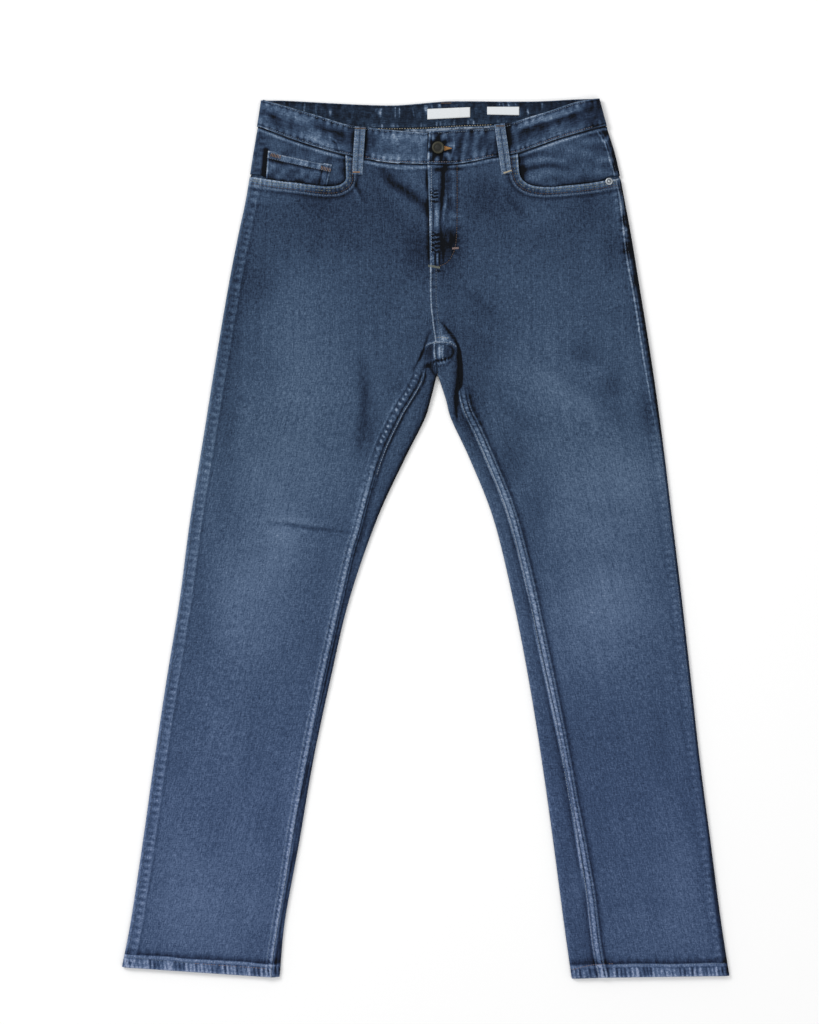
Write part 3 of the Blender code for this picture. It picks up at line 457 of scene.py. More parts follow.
HEM_FORM = [(0, 0.2), (1.2, 0.75), (10.8, 0.8), (12.4, 0.45), (13.4, 0.75), (15.0, 0.5), (16.2, -0.3),
            (19, 0.0)]
HEM_SHADE = [(0, 0.8), (1.6, 0.5), (3.0, 0.15), (10.2, 0.1), (11.4, -0.3), (12.4, 0.3), (14.6, 0.55),
             (15.6, 0.2), (16.4, -0.9), (18.4, -0.6), (23, -0.1), (28, 0)]
RISE_FORM = [(-1.5, 0), (0, -0.35), (0.9, 0.45), (2.2, 0.3), (6.8, 0.3), (7.6, 0.0), (8.6, 0.12), (11, 0)]
RISE_SHADE = [(-3, 0), (-0.6, -0.6), (0.3, 1.3), (1.3, 0.9), (2.4, -0.2), (6.4, 0.05), (7.6, -0.45),
              (8.8, 0.25), (11, 0)]

LINES = {
    "inseam_right": smooth_curve(INSEAM_RIGHT, 140), "inseam_left": smooth_curve(INSEAM_LEFT, 140),
    "outseam_right": smooth_curve(OUTSEAM_RIGHT, 100), "outseam_left": smooth_curve(OUTSEAM_LEFT, 100),
    "mouth_right": smooth_curve(MOUTH_RIGHT, 80), "mouth_left": smooth_curve(MOUTH_LEFT, 80),
    "rise": smooth_curve(RISE_SEAM, 40),
}


def wash_and_shade(x, y):
    """Broad washing with painted light and shade in it: lighter and darker clouds, and a little
    darker above the crotch.
    """
    tone = np.zeros_like(x)
    for centre, half, strength in WASH_AND_SHADE:
        c = from_photo([centre])[0]
        r = ((x - c[0]) / (half[0] * PIXEL)) ** 2 + ((y - c[1]) / (half[1] * PIXEL)) ** 2
        tone += strength * np.exp(-r)
    tone -= 0.12 * smoothstep((y - 150) / 130)
    return tone + 0.06 * soft_noise(x, y, 33.0, 31) + 0.05 * soft_noise(x, y, 90.0, 32)


# --- Meshes --------------------------------------------------------------------------------------
def grid_normals(grid):
    """Square to the cloth at each point, from the points on both sides of it."""
    n = np.cross(np.gradient(grid, axis=0), np.gradient(grid, axis=1))
    return n / np.linalg.norm(n, axis=2)[..., None]


def mesh_object(name, vertices, faces, material, smooth=True):
    """A mesh object at the origin, from vertices in millimetres of the tables' frame."""
    mesh = bpy.data.meshes.new(name)
    placed = (np.asarray(vertices, float) - np.array([*PLAN_CENTRE, 0.0])) * MM
    mesh.from_pydata(placed.tolist(), [], faces)
    mesh.polygons.foreach_set("use_smooth", np.full(len(mesh.polygons), smooth))
    mesh.materials.append(material)
    obj = bpy.data.objects.new(name, mesh)
    bpy.context.collection.objects.link(obj)
    return obj


def set_attribute(mesh, name, values):
    """Keeps one number for each vertex, for the materials to read."""
    layer = mesh.attributes.new(name, "FLOAT", "POINT")
    layer.data.foreach_set("value", np.asarray(values, np.float32).ravel())


INNER_STEP = 4                      # the inner face of the cloth has every fourth point
SHEETS = []                         # each piece of cloth with its flat width, length and area


def cloth_piece(name, grid, thickness, material, outward=1, shade=None, tone=None, grain=None,
                side_points=None, inner_step=INNER_STEP, centre_seam=False, inner_material=None,
                inner_shade=None):
    """A thin shell about a grid of points on the middle of the cloth.

    The outer face has every point and the inner face every inner_step-th one; faces with many
    corners join the two all round.  shade and tone are kept as attributes and grain as the UV map, in
    metres across and along the warp.  The piece is listed as a sheet of its own size.
    """
    rows, columns = grid.shape[:2]
    normals = grid_normals(grid) * outward
    if side_points is not None:
        normals[side_points, 2] = 0.0
    if centre_seam:
        normals[-1, :, 0] = 0.0
    normals /= np.linalg.norm(normals, axis=2)[..., None]
    outer = grid + normals * thickness / 2
    inner = (grid - normals * thickness / 2)[::inner_step, ::inner_step]
    n, m = inner.shape[:2]
    top = np.arange(rows * columns).reshape(rows, columns)
    low = np.arange(n * m).reshape(n, m) + rows * columns

    def quads(index):
        """The four corners of each cell of a grid of vertex numbers."""
        return np.stack([index[:-1, :-1], index[:-1, 1:], index[1:, 1:], index[1:, :-1]], -1).reshape(-1, 4)

    fine, coarse = quads(top), quads(low)[:, ::-1]
    around = np.concatenate([top[0, :-1], top[:-1, -1], top[-1, :0:-1], top[:0:-1, 0]])
    below = np.concatenate([low[0, :-1], low[:-1, -1], low[-1, :0:-1], low[:0:-1, 0]])
    rim = []
    for k in range(len(below)):
        part = [int(around[(k * inner_step + s) % len(around)]) for s in range(inner_step, -1, -1)]
        rim.append(part + [int(below[k]), int(below[(k + 1) % len(below)])])
    faces = [list(map(int, f)) for f in fine] + [list(map(int, f)) for f in coarse] + rim
    if outward < 0:
        faces = [f[::-1] for f in faces]
    vertices = np.concatenate([outer.reshape(-1, 3), inner.reshape(-1, 3)])
    obj = mesh_object(name + "_cloth", vertices, faces, material)
    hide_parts(name)
    mesh = obj.data
    if inner_material is not None:
        mesh.materials.append(inner_material)
        index = np.zeros(len(mesh.polygons), np.int32)
        index[len(fine):len(fine) + len(coarse)] = 1
        mesh.polygons.foreach_set("material_index", index)
    zero = np.zeros((rows, columns))
    for label, values, under in (("shade", shade, inner_shade), ("tone", tone, None)):
        values = zero if values is None else values
        under = values if under is None else under
        both = np.concatenate([values.ravel(), under[::inner_step, ::inner_step].ravel()])
        set_attribute(mesh, label, both)
    u, v = grain if grain is not None else (grid[..., 0], grid[..., 1])
    points = np.stack([u, v], axis=-1) * MM
    points = np.concatenate([points.reshape(-1, 2), points[::inner_step, ::inner_step].reshape(-1, 2)])
    corner = np.empty(len(mesh.loops), np.int32)
    mesh.loops.foreach_get("vertex_index", corner)
    layer = mesh.uv_layers.new(name="grain")
    layer.data.foreach_set("uv", points[corner].astype(np.float32).ravel())
    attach(obj, "root")
    SHEETS.append((obj, flat_size(grid)))
    return obj


def flat_size(grid):
    """Width, length and area of the flat cut, in metres: the longest row and column, and the sum of
    the grid's faces."""
    wide = np.linalg.norm(np.diff(grid, axis=1), axis=2).sum(axis=1).max()
    long = np.linalg.norm(np.diff(grid, axis=0), axis=2).sum(axis=0).max()
    across, up = np.diff(grid, axis=1)[:-1], np.diff(grid, axis=0)[:, :-1]
    area = np.linalg.norm(np.cross(across, up), axis=2).sum()
    return wide * MM, long * MM, area * MM * MM


def rows_between(starts, ends, near, middle_count, far):
    """Points in plan on straight rows: near and far are distances from the ends, and middle_count
    points share what is left between them evenly."""
    length = np.linalg.norm(ends - starts, axis=1)[:, None]
    near, far = np.asarray(near, float), np.asarray(far, float)
    share = np.arange(1, middle_count + 1) / (middle_count + 1)
    inside = near[-1] + (length - near[-1] - far[0]) * share
    along = np.hstack([np.tile(near, (len(starts), 1)), inside, length - far]) / length
    return starts[:, None, :] + (ends - starts)[:, None, :] * along[..., None]


# --- Stations shared by the panels ---------------------------------------------------------------
def whole_steps(count, start):
    """The numbers of count rows or columns, without the one to three past start that would be left
    over where the inner face takes every fourth one."""
    spare = (count - 1) % INNER_STEP
    return np.delete(np.arange(count), np.arange(start, start + 6 * spare, 6)[:spare])


LEG_RUN = 650.0                             # mm above the hem, up to which all rows are level
FRONT_MIDDLE, UNDER_MIDDLE = 106, 20        # points between a row's ends, on top and underneath
LEG_LEVELS = np.concatenate([np.arange(0, 18, 0.9), np.arange(18, LEG_RUN, 2.0), [LEG_RUN]])
FAN = np.linspace(0, 1, 113)[1:]
BACK_FAN = np.concatenate([np.linspace(0, 0.7, 79)[1:], np.linspace(0.7, 1, 111)[1:]])
TURN_STEPS = [0.0, 0.08, 0.27, 0.6, 1.0, 1.5, FOLD_REACH]
NEAR_STEPS = TURN_STEPS + list(np.arange(2.6, 14.2, 0.65))
FAR_STEPS = list(np.arange(12.6, -0.01, -0.6))


def curve_at(curve, levels):
    """The points of a rising curve at given heights above its own lower end."""
    y = curve[0, 1] + levels
    return np.stack([np.interp(y, curve[:, 1], curve[:, 0]), y], axis=1)


def above(curve, level):
    """The part of a rising curve that is above a height over its lower end."""
    first = curve_at(curve, np.array([level]))
    return np.vstack([first, curve[curve[:, 1] > first[0, 1]]])


def seam_stations(points, fan):
    """The legs' even levels and then the fan's steps, on one rising seam."""
    curve = smooth_curve(points, 900)
    return np.vstack([curve_at(curve, LEG_LEVELS), pick(above(curve, LEG_RUN), fan)])


def leg_grain(x, y, side):
    """Across and along the warp, in millimetres: below the crotch the leg leans outwards."""
    lean = np.where(y < 200, (200 - y) * 0.235, 0.0) * side
    return x - lean, y


# --- Materials -----------------------------------------------------------------------------------
def linear(code):
    """A hex sRGB colour as linear red, green, blue and alpha."""
    parts = [int(code[k:k + 2], 16) / 255 for k in (0, 2, 4)]
    return [p / 12.92 if p <= 0.04045 else ((p + 0.055) / 1.055) ** 2.4 for p in parts] + [1.0]


def node(tree, kind, inputs=(), **settings):
    """Adds a node; inputs maps its sockets to values or to other nodes' outputs."""
    made = tree.nodes.new(kind)
    for key, value in settings.items():
        setattr(made, key, value)
    for key, value in dict(inputs).items():
        if isinstance(value, bpy.types.NodeSocket):
            tree.links.new(value, made.inputs[key])
        else:
            made.inputs[key].default_value = value
    return made


def math_node(tree, operation, a, b=0.0):
    """The output of one sum, product or difference."""
    return node(tree, "ShaderNodeMath", {0: a, 1: b}, operation=operation).outputs[0]


def new_material(name, roughness=0.9, metallic=0.0, colour="808080"):
    """A material with its node tree and its shader."""
    material = bpy.data.materials.new(name)
    material.use_nodes = True
    tree = material.node_tree
    shader = tree.nodes["Principled BSDF"]
    shader.inputs["Base Color"].default_value = linear(colour)
    shader.inputs["Roughness"].default_value = roughness
    shader.inputs["Metallic"].default_value = metallic
    return material, tree, shader


def noise(tree, vector, size_mm, detail=2.0, roughness=0.5):
    """Noise about 0.5 with features of size_mm, on coordinates in metres."""
    made = node(tree, "ShaderNodeTexNoise", {"Vector": vector, "Scale": 1000.0 / size_mm, "Detail": detail,
                                             "Roughness": roughness}, noise_dimensions="3D")
    return made.outputs["Fac"]


def stretched(tree, vector, scale):
    """Coordinates scaled on each axis, so that noise on them is drawn out."""
    return node(tree, "ShaderNodeMapping", {"Vector": vector, "Scale": scale}).outputs[0]


TWILL_PITCH = 3.0                   # mm from one diagonal of the weave to the next
WAVE_SCALE = 6.283 / 20.0           # the wave texture's scale that gives one band to a unit
LOW_TINT = (0.985, 0.965, 1.10, 1.0)
TINT_START, TINT_FULL = 0.12, -0.32         # metres in Y, where the low legs' tint begins and is full


def denim(name, stops, blue=1.0, strength=1.0, along="grain"):
    """Washed indigo denim: speckled, streaked along the warp, lighter where it was worn.

    Two attributes steer it: tone is the broad washing, with some painted light and shade in it, and
    shade is painted light and shade: dark (-) is painted shade in crevices, slits, folds and under
    edges, and light (+) on ridges and edges is partly wear and partly painted highlight.  Towards the
    hems the blue is stronger.  The twill is drawn at 3 mm, coarser than real, so that it shows
    at this size.
    """
    material, tree, shader = new_material(name, 0.92)
    place = node(tree, "ShaderNodeTexCoord").outputs["Object"]
    grain = node(tree, "ShaderNodeUVMap", uv_map="grain").outputs[0] if along == "grain" else place
    tone = node(tree, "ShaderNodeAttribute", attribute_name="tone").outputs["Fac"]
    shade = node(tree, "ShaderNodeAttribute", attribute_name="shade").outputs["Fac"]

    def part(value, weight):
        """A noise centred on zero and weighted."""
        return math_node(tree, "MULTIPLY", math_node(tree, "SUBTRACT", value, 0.5), weight * strength)

    speckle = noise(tree, place, 1.7, 2.0, 0.6)
    streak = noise(tree, stretched(tree, grain, (1.0, 0.24, 1.0)), 1.5, 1.0, 0.5)
    cross = noise(tree, stretched(tree, grain, (0.25, 1.0, 1.0)), 1.6, 1.0, 0.5)
    cloud = noise(tree, place, 12.0, 2.0, 0.6)
    long_streak = noise(tree, stretched(tree, grain, (1.0, 0.03, 1.0)), 3.0, 2.0, 0.5)
    total = part(speckle, 0.56)
    for value, weight in ((streak, 0.40), (cross, 0.24), (cloud, 0.10), (long_streak, 0.18)):
        total = math_node(tree, "ADD", total, part(value, weight))
    total = math_node(tree, "ADD", total, math_node(tree, "MULTIPLY", tone, 0.30))
    rough_shade = math_node(tree, "MULTIPLY", shade,
                            math_node(tree, "ADD", 0.4, math_node(tree, "MULTIPLY", speckle, 1.2)))
    total = math_node(tree, "ADD", total, math_node(tree, "MULTIPLY", rough_shade, 0.40))
    total = math_node(tree, "ADD", total, 0.5)
    ramp = node(tree, "ShaderNodeValToRGB", {"Fac": total})
    elements = ramp.color_ramp.elements
    for k, code in enumerate(stops):
        if k in (0, len(stops) - 1):
            element = elements[0 if k == 0 else len(elements) - 1]
            element.position = k / (len(stops) - 1)
        else:
            element = elements.new(k / (len(stops) - 1))
        element.color = linear(code)
    height = node(tree, "ShaderNodeSeparateXYZ", {"Vector": place}).outputs["Y"]
    low = node(tree, "ShaderNodeMapRange", {"Value": height, "From Min": TINT_START, "From Max": TINT_FULL,
                                            "To Min": 0.0, "To Max": blue}).outputs[0]
    bluer = node(tree, "ShaderNodeMix", {0: low, 6: (1.0, 1.0, 1.0, 1.0), 7: LOW_TINT},
                 data_type="RGBA").outputs[2]
    tinted = node(tree, "ShaderNodeMix", {0: 1.0, 6: ramp.outputs[0], 7: bluer}, data_type="RGBA",
                  blend_type="MULTIPLY").outputs[2]
    tree.links.new(tinted, shader.inputs["Base Color"])
    diagonal = node(tree, "ShaderNodeMapping", {"Vector": grain, "Rotation": (0.0, 0.0, math.radians(-28))})
    weave = {"Vector": diagonal.outputs[0], "Scale": 1000.0 / TWILL_PITCH * WAVE_SCALE, "Distortion": 1.5,
             "Detail": 1.0}
    twill = node(tree, "ShaderNodeTexWave", weave, wave_type="BANDS")
    relief = math_node(tree, "ADD", math_node(tree, "MULTIPLY", twill.outputs["Fac"], 0.3), speckle)
    bump = node(tree, "ShaderNodeBump", {"Height": relief, "Strength": 0.28, "Distance": 0.0006})
    tree.links.new(bump.outputs[0], shader.inputs["Normal"])
    shader.inputs["Specular IOR Level"].default_value = 0.12
    shader.inputs["Sheen Weight"].default_value = 0.03
    shader.inputs["Sheen Roughness"].default_value = 0.5
    return material


# From deep crevices in painted shade to worn ridges with painted highlight
DENIM_FACE = denim("washed_denim", ("06090F", "1C283C", "35475F", "576A82", "8A98AA"))
# The inside of the band, which lies in deep shade in the photograph
DENIM_INSIDE = denim("denim_inside", ("05080D", "121B29", "243347", "4A5C73", "8A98AA"))
# The hidden pieces under the seat, on coordinates of their own
DENIM_UNDER = denim("denim_under", ("06090F", "1B2739", "34465C", "566A81", "8A98AA"), along="place")


def plain(name, colour, roughness=0.8, metallic=0.0, wobble=0.0):
    """A plain material whose colour wanders a little where wobble is given."""
    material, tree, shader = new_material(name, roughness, metallic, colour)
    if wobble:
        place = node(tree, "ShaderNodeTexCoord").outputs["Object"]
        value = noise(tree, place, 1.6, 2.0)
        factor = math_node(tree, "ADD", 1.0 - wobble, math_node(tree, "MULTIPLY", value, 2 * wobble))
        mixed = node(tree, "ShaderNodeHueSaturation", {"Color": linear(colour), "Value": factor})
        tree.links.new(mixed.outputs[0], shader.inputs["Base Color"])
    return material


THREADS = {
    "tonal": plain("thread_tonal", "5C6C80", 0.75, wobble=0.25),        # faded blue-grey topstitching
    "pale": plain("thread_pale", "7F8C9B", 0.75, wobble=0.25),          # worn pale topstitching
    "navy": plain("thread_navy", "273243", 0.75, wobble=0.2),
    "orange": plain("thread_orange", "866A52", 0.75, wobble=0.2),       # tobacco bars
    "brown": plain("thread_brown", "4E4038", 0.75, wobble=0.2),
    "buttonhole": plain("thread_buttonhole", "A87A46", 0.75, wobble=0.2),
    "rose": plain("thread_rose", "7C6A68", 0.75, wobble=0.25),
    "olive": plain("thread_olive", "6A6E60", 0.75, wobble=0.3),
    "beige": plain("thread_beige", "A39C88", 0.75, wobble=0.2),
}
LABEL_SATIN = plain("label_satin", "CDD1D4", 0.6, wobble=0.06)          # off-white woven label
ZIP_TAPE = plain("zip_tape", "1A2436", 0.85)                            # navy zip tape
BRASS = plain("antique_brass", "2B2A1C", 0.55, 0.3, wobble=0.6)         # dark worn brass
STEEL_DARK = plain("steel_recess", "565C62", 0.6, 0.6)                  # the ring pressed into the rivet
BRASS_DARK = plain("brass_recess", "14150F", 0.6, 0.3)                  # patina inside the button
STEEL = plain("worn_steel", "A4AAB0", 0.42, 0.9, wobble=0.15)            # worn nickel plating


# --- Cloth of the legs ---------------------------------------------------------------------------
def ridge_shift(y, side):
    """Millimetres that an inseam's section is moved by, towards the back, at height y."""
    return np.interp(PIXEL_ORIGIN[1] - y / PIXEL, *RIDGE_SHIFT[side])


def seam_fields(x, y, side, on_hip):
    """Extra height, and painted light and shade, on a front or a back strip that come from its seams."""
    name = SIDE_NAMES[side]
    # felled inseam: positive distances lie on the front
    seam, run = along_line(LINES["inseam_" + name], x, y)
    seam = seam * -side + ridge_shift(y, side)
    comes_out = smoothstep((FELLED_TOP[side] - y) / 14)
    rope = puckers(run + 0.9 * side * seam, 5.8, 41 if side < 0 else 43)
    near_crotch = smoothstep((y - 40) / 90)
    bead = smoothstep((puckers(run, 7.2, 47) - 0.05) / 0.5) * near_crotch
    wide, dot_at, dot_light = (13.0, 8.2, 1.3) if side < 0 else (9.0, 4.6, 0.35)
    on_band = smoothstep((seam - 0.8) / 1.2) * smoothstep((wide - seam) / 1.6)
    wave = puckers(run, 9.5, 45) * smoothstep((18 - seam) / 8) * smoothstep((seam + 8) / 8)
    dots = bell(seam - dot_at, 1.9) * bead
    ticks = puckers(run, 5.2, 49) * bell(seam - 8.0, 1.6) * (1 - near_crotch)
    shade = band_profile(seam, LEFT_SHADE)
    if side < 0:
        shade = (near_crotch * band_profile(seam, BEADED_SHADE)
                 + (1 - near_crotch) * band_profile(seam, PLAIN_SHADE))
    height = (band_profile(seam, FELLED[side]) + 0.14 * rope * on_band + 0.3 * dots + 0.12 * wave) * comes_out
    shade = (shade + 0.25 * rope * on_band + dot_light * dots - 0.25 * near_crotch * on_band + 0.16 * wave
             + 0.5 * ticks) * comes_out
    # outseam: its allowance lies under the front, and its far edge shows as a puckered ridge
    out, run = along_line(LINES["outseam_" + name], x, y)
    out = abs(out)
    wave = puckers(run, 8.6, 51 if side < 0 else 53)
    strong = 1.0 + (0.5 * smoothstep((y - 300) / 60) if side > 0 else 0.3 * smoothstep((y - 150) / 90))
    height += band_profile(out, ALLOWANCE) + 0.24 * strong * wave * bell(out - 10, 4.5)
    shade += (0.5 if side < 0 else 0.34) * strong * wave * bell(out - 9.5, 4.0)
    # the outer edge: painted highlight on the right leg's, which faces the lamp, and painted shade on the
    # left leg's, which faces away, wider towards the hem; light and dark beside them over the allowance
    if side < 0:
        shade += band_profile(out, [(0, 0.6), (1.6, 0.4), (3.2, 0.0), (9, 0.1), (12, 0.3), (13.6, 0.35),
                                    (15.4, -0.25), (19, 0)])
    else:
        low = 1.0 + 1.0 * smoothstep((-330 - y) / 130)
        shade += band_profile(out / low, [(0, -1.1), (1.8, -0.8), (3.2, -0.1), (5, 0), (19, 0)])
        shade += band_profile(out, [(6, 0), (8, 0.1), (12, 0.0), (15, -0.15), (19, 0)])
    return height * on_hip, shade * on_hip


OUTER_PATH = from_photo([(597.4, 132.6), (603.4, 142), (607.6, 153), (612, 168), (615, 178), (617, 188),
                         (619.2, 198), (621.2, 214), (623, 231), (624.4, 244), (627.2, 264), (633.6, 298),
                         (642.5, 355), (651.5, 408), (657.5, 440), (668.5, 520), (678.5, 600)])
OUTER_ROW = smooth_curve(OUTER_PATH, 120)


def outer_row_fields(x, y):
    """The left leg's outseam as it runs in from the side: a light row, then the back's cloth in shade
    with puckers; strongest at the hip and gone on the thigh."""
    distance, run = along_line(OUTER_ROW, x, y)
    here = smoothstep((y - 60) / 240) * smoothstep((512 - y) / 6)
    wave = puckers(run, 8.2, 55)
    gather = 1.0 + 1.6 * bell(y - 388, 20)
    shade = band_profile(distance, [(-4, 0), (-1.6, -0.3), (-0.6, 0.9), (0.6, 0.8), (1.5, -0.9),
                                    (2.4, -0.2), (3.4, 0.0), (4.6, -0.8), (8, -0.85), (14, -0.9)])
    shade += gather * 0.4 * wave * smoothstep((distance - 1) / 2)
    height = band_profile(distance, [(-3, 0), (-1.2, -0.3), (0, 0.35), (1.5, -0.2), (3, 0.25),
                                     (4.8, -0.35), (9, 0)])
    height += gather * 0.18 * wave * smoothstep((distance + 1) / 2)
    return height * here, shade * here


def hem_fields(level, x):
    """The turned-up hem: a raised band with roping above its edge, its light partly wear and partly
    painted highlight, its dark painted shade, and a dark step over it in painted shade.
    """
    level = level + 0.9 * soft_noise(x, 0 * x, 24.0, 66) * smoothstep(level / 6)
    rope = 0.75 * puckers(x + 0.15 * level, 5.2, 61) + 0.8 * soft_noise(x, level * 0.15, 3.0, 65)
    on_band = smoothstep((13.2 - level) / 2) * smoothstep((level + 1.0) / 2)
    height = band_profile(level, HEM_FORM) + 0.22 * rope * on_band
    shade = band_profile(level, HEM_SHADE) + (0.8 * rope + 0.08) * on_band * smoothstep((12.6 - level) / 2)
    over = puckers(x, 12.0, 63) * bell(level - 21, 4.5)
    return height + 0.14 * over, shade + 0.2 * over


def mouth_fields(x, y, side):
    """The faced edge of a front pocket's mouth: light along its edge, partly wear and partly painted
    highlight, and painted shade beyond its step.
    """
    distance, run = along_line(LINES["mouth_" + SIDE_NAMES[side]], x, y)
    distance = abs(distance)
    rope = puckers(run, 5.6, 71 if side < 0 else 73) * smoothstep((11.0 - distance) / 2)
    height = 0.5 * band_profile(distance, MOUTH_FORM) + 0.16 * rope
    # darker round the inner end, and on the left in all
    inner_end = smoothstep((x + 152) / 26) if side < 0 else 0.45 + 0.55 * smoothstep((168 - x) / 26)
    band_darkening = bell(distance - 5.4, 4.4)
    return height, band_profile(distance, MOUTH_SHADE) + 0.36 * rope - (0.12 + 0.72 * inner_end) * band_darkening


def rise_fields(x, y):
    """The felled front rise, light along its edge, partly wear and partly painted highlight, with
    painted shade beside it.
    """
    distance, run = along_line(LINES["rise"], x, y)
    inside = (y > CROTCH[1] - 1) & (y < 338)
    wave = puckers(run, 9.0, 81)
    near = bell(distance + 4, 5)
    height = band_profile(-distance, RISE_FORM) + 0.15 * wave * near
    return height * inside, (band_profile(-distance, RISE_SHADE) + 0.3 * wave * near) * inside


J_STITCH = from_photo([(457, 165), (457, 200), (456.7, 230), (455, 248), (450.5, 259), (445, 264.5),
                       (437, 267.5)])
LAP_LINE = from_photo([(430, 165), (430, 200), (430, 240), (430, 266)])
LAP_FOOT = from_photo([(436, 271), (443, 273), (447, 277)])
VALLEY_TOP_ROW = 163
# The valley behind the lap, in photograph pixels and mm: y, middle x, half width, depth (which also
# sets its painted shade)
VALLEY = np.array([(165, 446, 5.0, 0.9), (170, 444, 3.4, 1.0), (176, 443.4, 2.4, 1.0),
                   (188, 443, 2.3, 1.0), (196, 442, 2.3, 1.1), (206, 441.4, 2.0, 0.95),
                   (214, 440.6, 1.3, 0.6), (228, 440.2, 1.1, 0.4), (236, 441, 1.7, 0.6),
                   (248, 442.4, 2.6, 0.6), (258, 443, 2.4, 0.4), (266, 441, 2.0, 0.0)])


def fly_fields(x, y):
    """The fly's lap: a free edge light from wear and painted highlight, ropey puckers behind it in
    painted light and shade, and a dark valley of painted shade before the placket.
    """
    inside = (y > 328) & (x < 66)
    inward = x - np.interp(y, [334.7, 400, FLY_TOP], [5.6, 4.6, 2.4])
    gathers = np.exp(-((y - 420) / 8.5) ** 4) + np.exp(-((y - 364) / 13) ** 4)
    inner_rope = smoothstep((inward - 5.2) / 1.6)
    rope = (puckers(y + 0.3 * abs(inward - 3), 5.4, 91) * (1 - inner_rope)
            + puckers(y + 2.0 - 0.25 * abs(inward - 8.5), 5.4, 97) * inner_rope)
    rope = 0.75 * smoothstep(rope / 0.6) - 1.7 * smoothstep((0.25 - rope) / 0.6)
    on_rope = smoothstep((13.0 - inward) / 2.4) * smoothstep((inward - 1.0) / 1.2)
    height = 0.4 * rope * gathers * on_rope
    shade = rope * gathers * on_rope
    shade += band_profile(inward, [(0, 0.9), (1.4, 0.9), (2.4, 0.3), (3.4, 0.0), (9, 0.05), (12, 0)])
    row = PIXEL_ORIGIN[1] - y / PIXEL
    middle, half, deep = (np.interp(row, VALLEY[:, 0], VALLEY[:, k]) for k in (1, 2, 3))
    middle = (middle - PIXEL_ORIGIN[0]) * PIXEL + 0.5 * soft_noise(y, 0 * y, 6.0, 92)
    across = bell(x - middle, half) * smoothstep((row - VALLEY_TOP_ROW) / 3)
    # painted shade in the valley
    shade += -1.5 * deep * across
    height += -1.0 * deep * across
    # mottled placket with short upright streaks, which die out at its lower corner
    placket = smoothstep((inward - 17) / 3) * smoothstep((40 - inward) / 8)
    streaks = soft_noise(x, y * 0.22, 3.2, 95) + 0.6 * soft_noise(x * 0.5, y, 5.0, 96)
    shade += placket * 0.42 * streaks * smoothstep((y - 345) / 20)
    height += placket * 0.1 * streaks
    # the curved row: a groove in painted shade, with puckers beside it in painted light and shade
    distance, run = along_line(J_STITCH, x, y)
    wave = puckers(run, 8.0, 93)
    height += -0.25 * bell(distance, 1.3) + 0.14 * wave * bell(distance - 3, 4)
    shade += -0.35 * bell(distance, 1.4) + 0.25 * wave * bell(distance - 3, 3)
    # painted shade at the lap's foot
    foot, _ = along_line(LAP_FOOT, x, y)
    shade += -0.9 * bell(foot, 1.6)
    return height * inside, shade * inside


# The slit beside the crotch, in photograph pixels: y, middle x, half width
SLIT = np.array([(338, 454, 0.2), (346, 458, 1.2), (352, 459.3, 2.0), (365, 460.2, 2.5), (378, 460.0, 3.0),
                 (386, 459.1, 3.1), (391, 457.1, 2.0), (400, 456.2, 1.6), (410, 456.2, 1.1),
                 (418, 456.7, 0.6), (426, 457.2, 0.1)])
SLIT_RIM_ROW = 343


def slit(x, y):
    """The deep slit where the left front folds over the seat: painted shade, near black, with a soft
    left rim.
    """
    row = PIXEL_ORIGIN[1] - y / PIXEL
    middle = (np.interp(row, SLIT[:, 0], SLIT[:, 1]) - PIXEL_ORIGIN[0]) * PIXEL
    half = np.interp(row, SLIT[:, 0], SLIT[:, 2]) * PIXEL
    inside = smoothstep((row - SLIT[0, 0]) / 6) * smoothstep((SLIT[-1, 0] - row) / 12)
    across = x - middle
    depth = smoothstep((half + 1.2 - abs(across)) / 2.4) * inside
    under_top = smoothstep((row - SLIT_RIM_ROW) / 10)
    rim = smoothstep((half + 5.0 + across) / 5.0) * (across < 0) * under_top * inside
    return -1.8 * depth, -1.9 * depth - 0.4 * rim


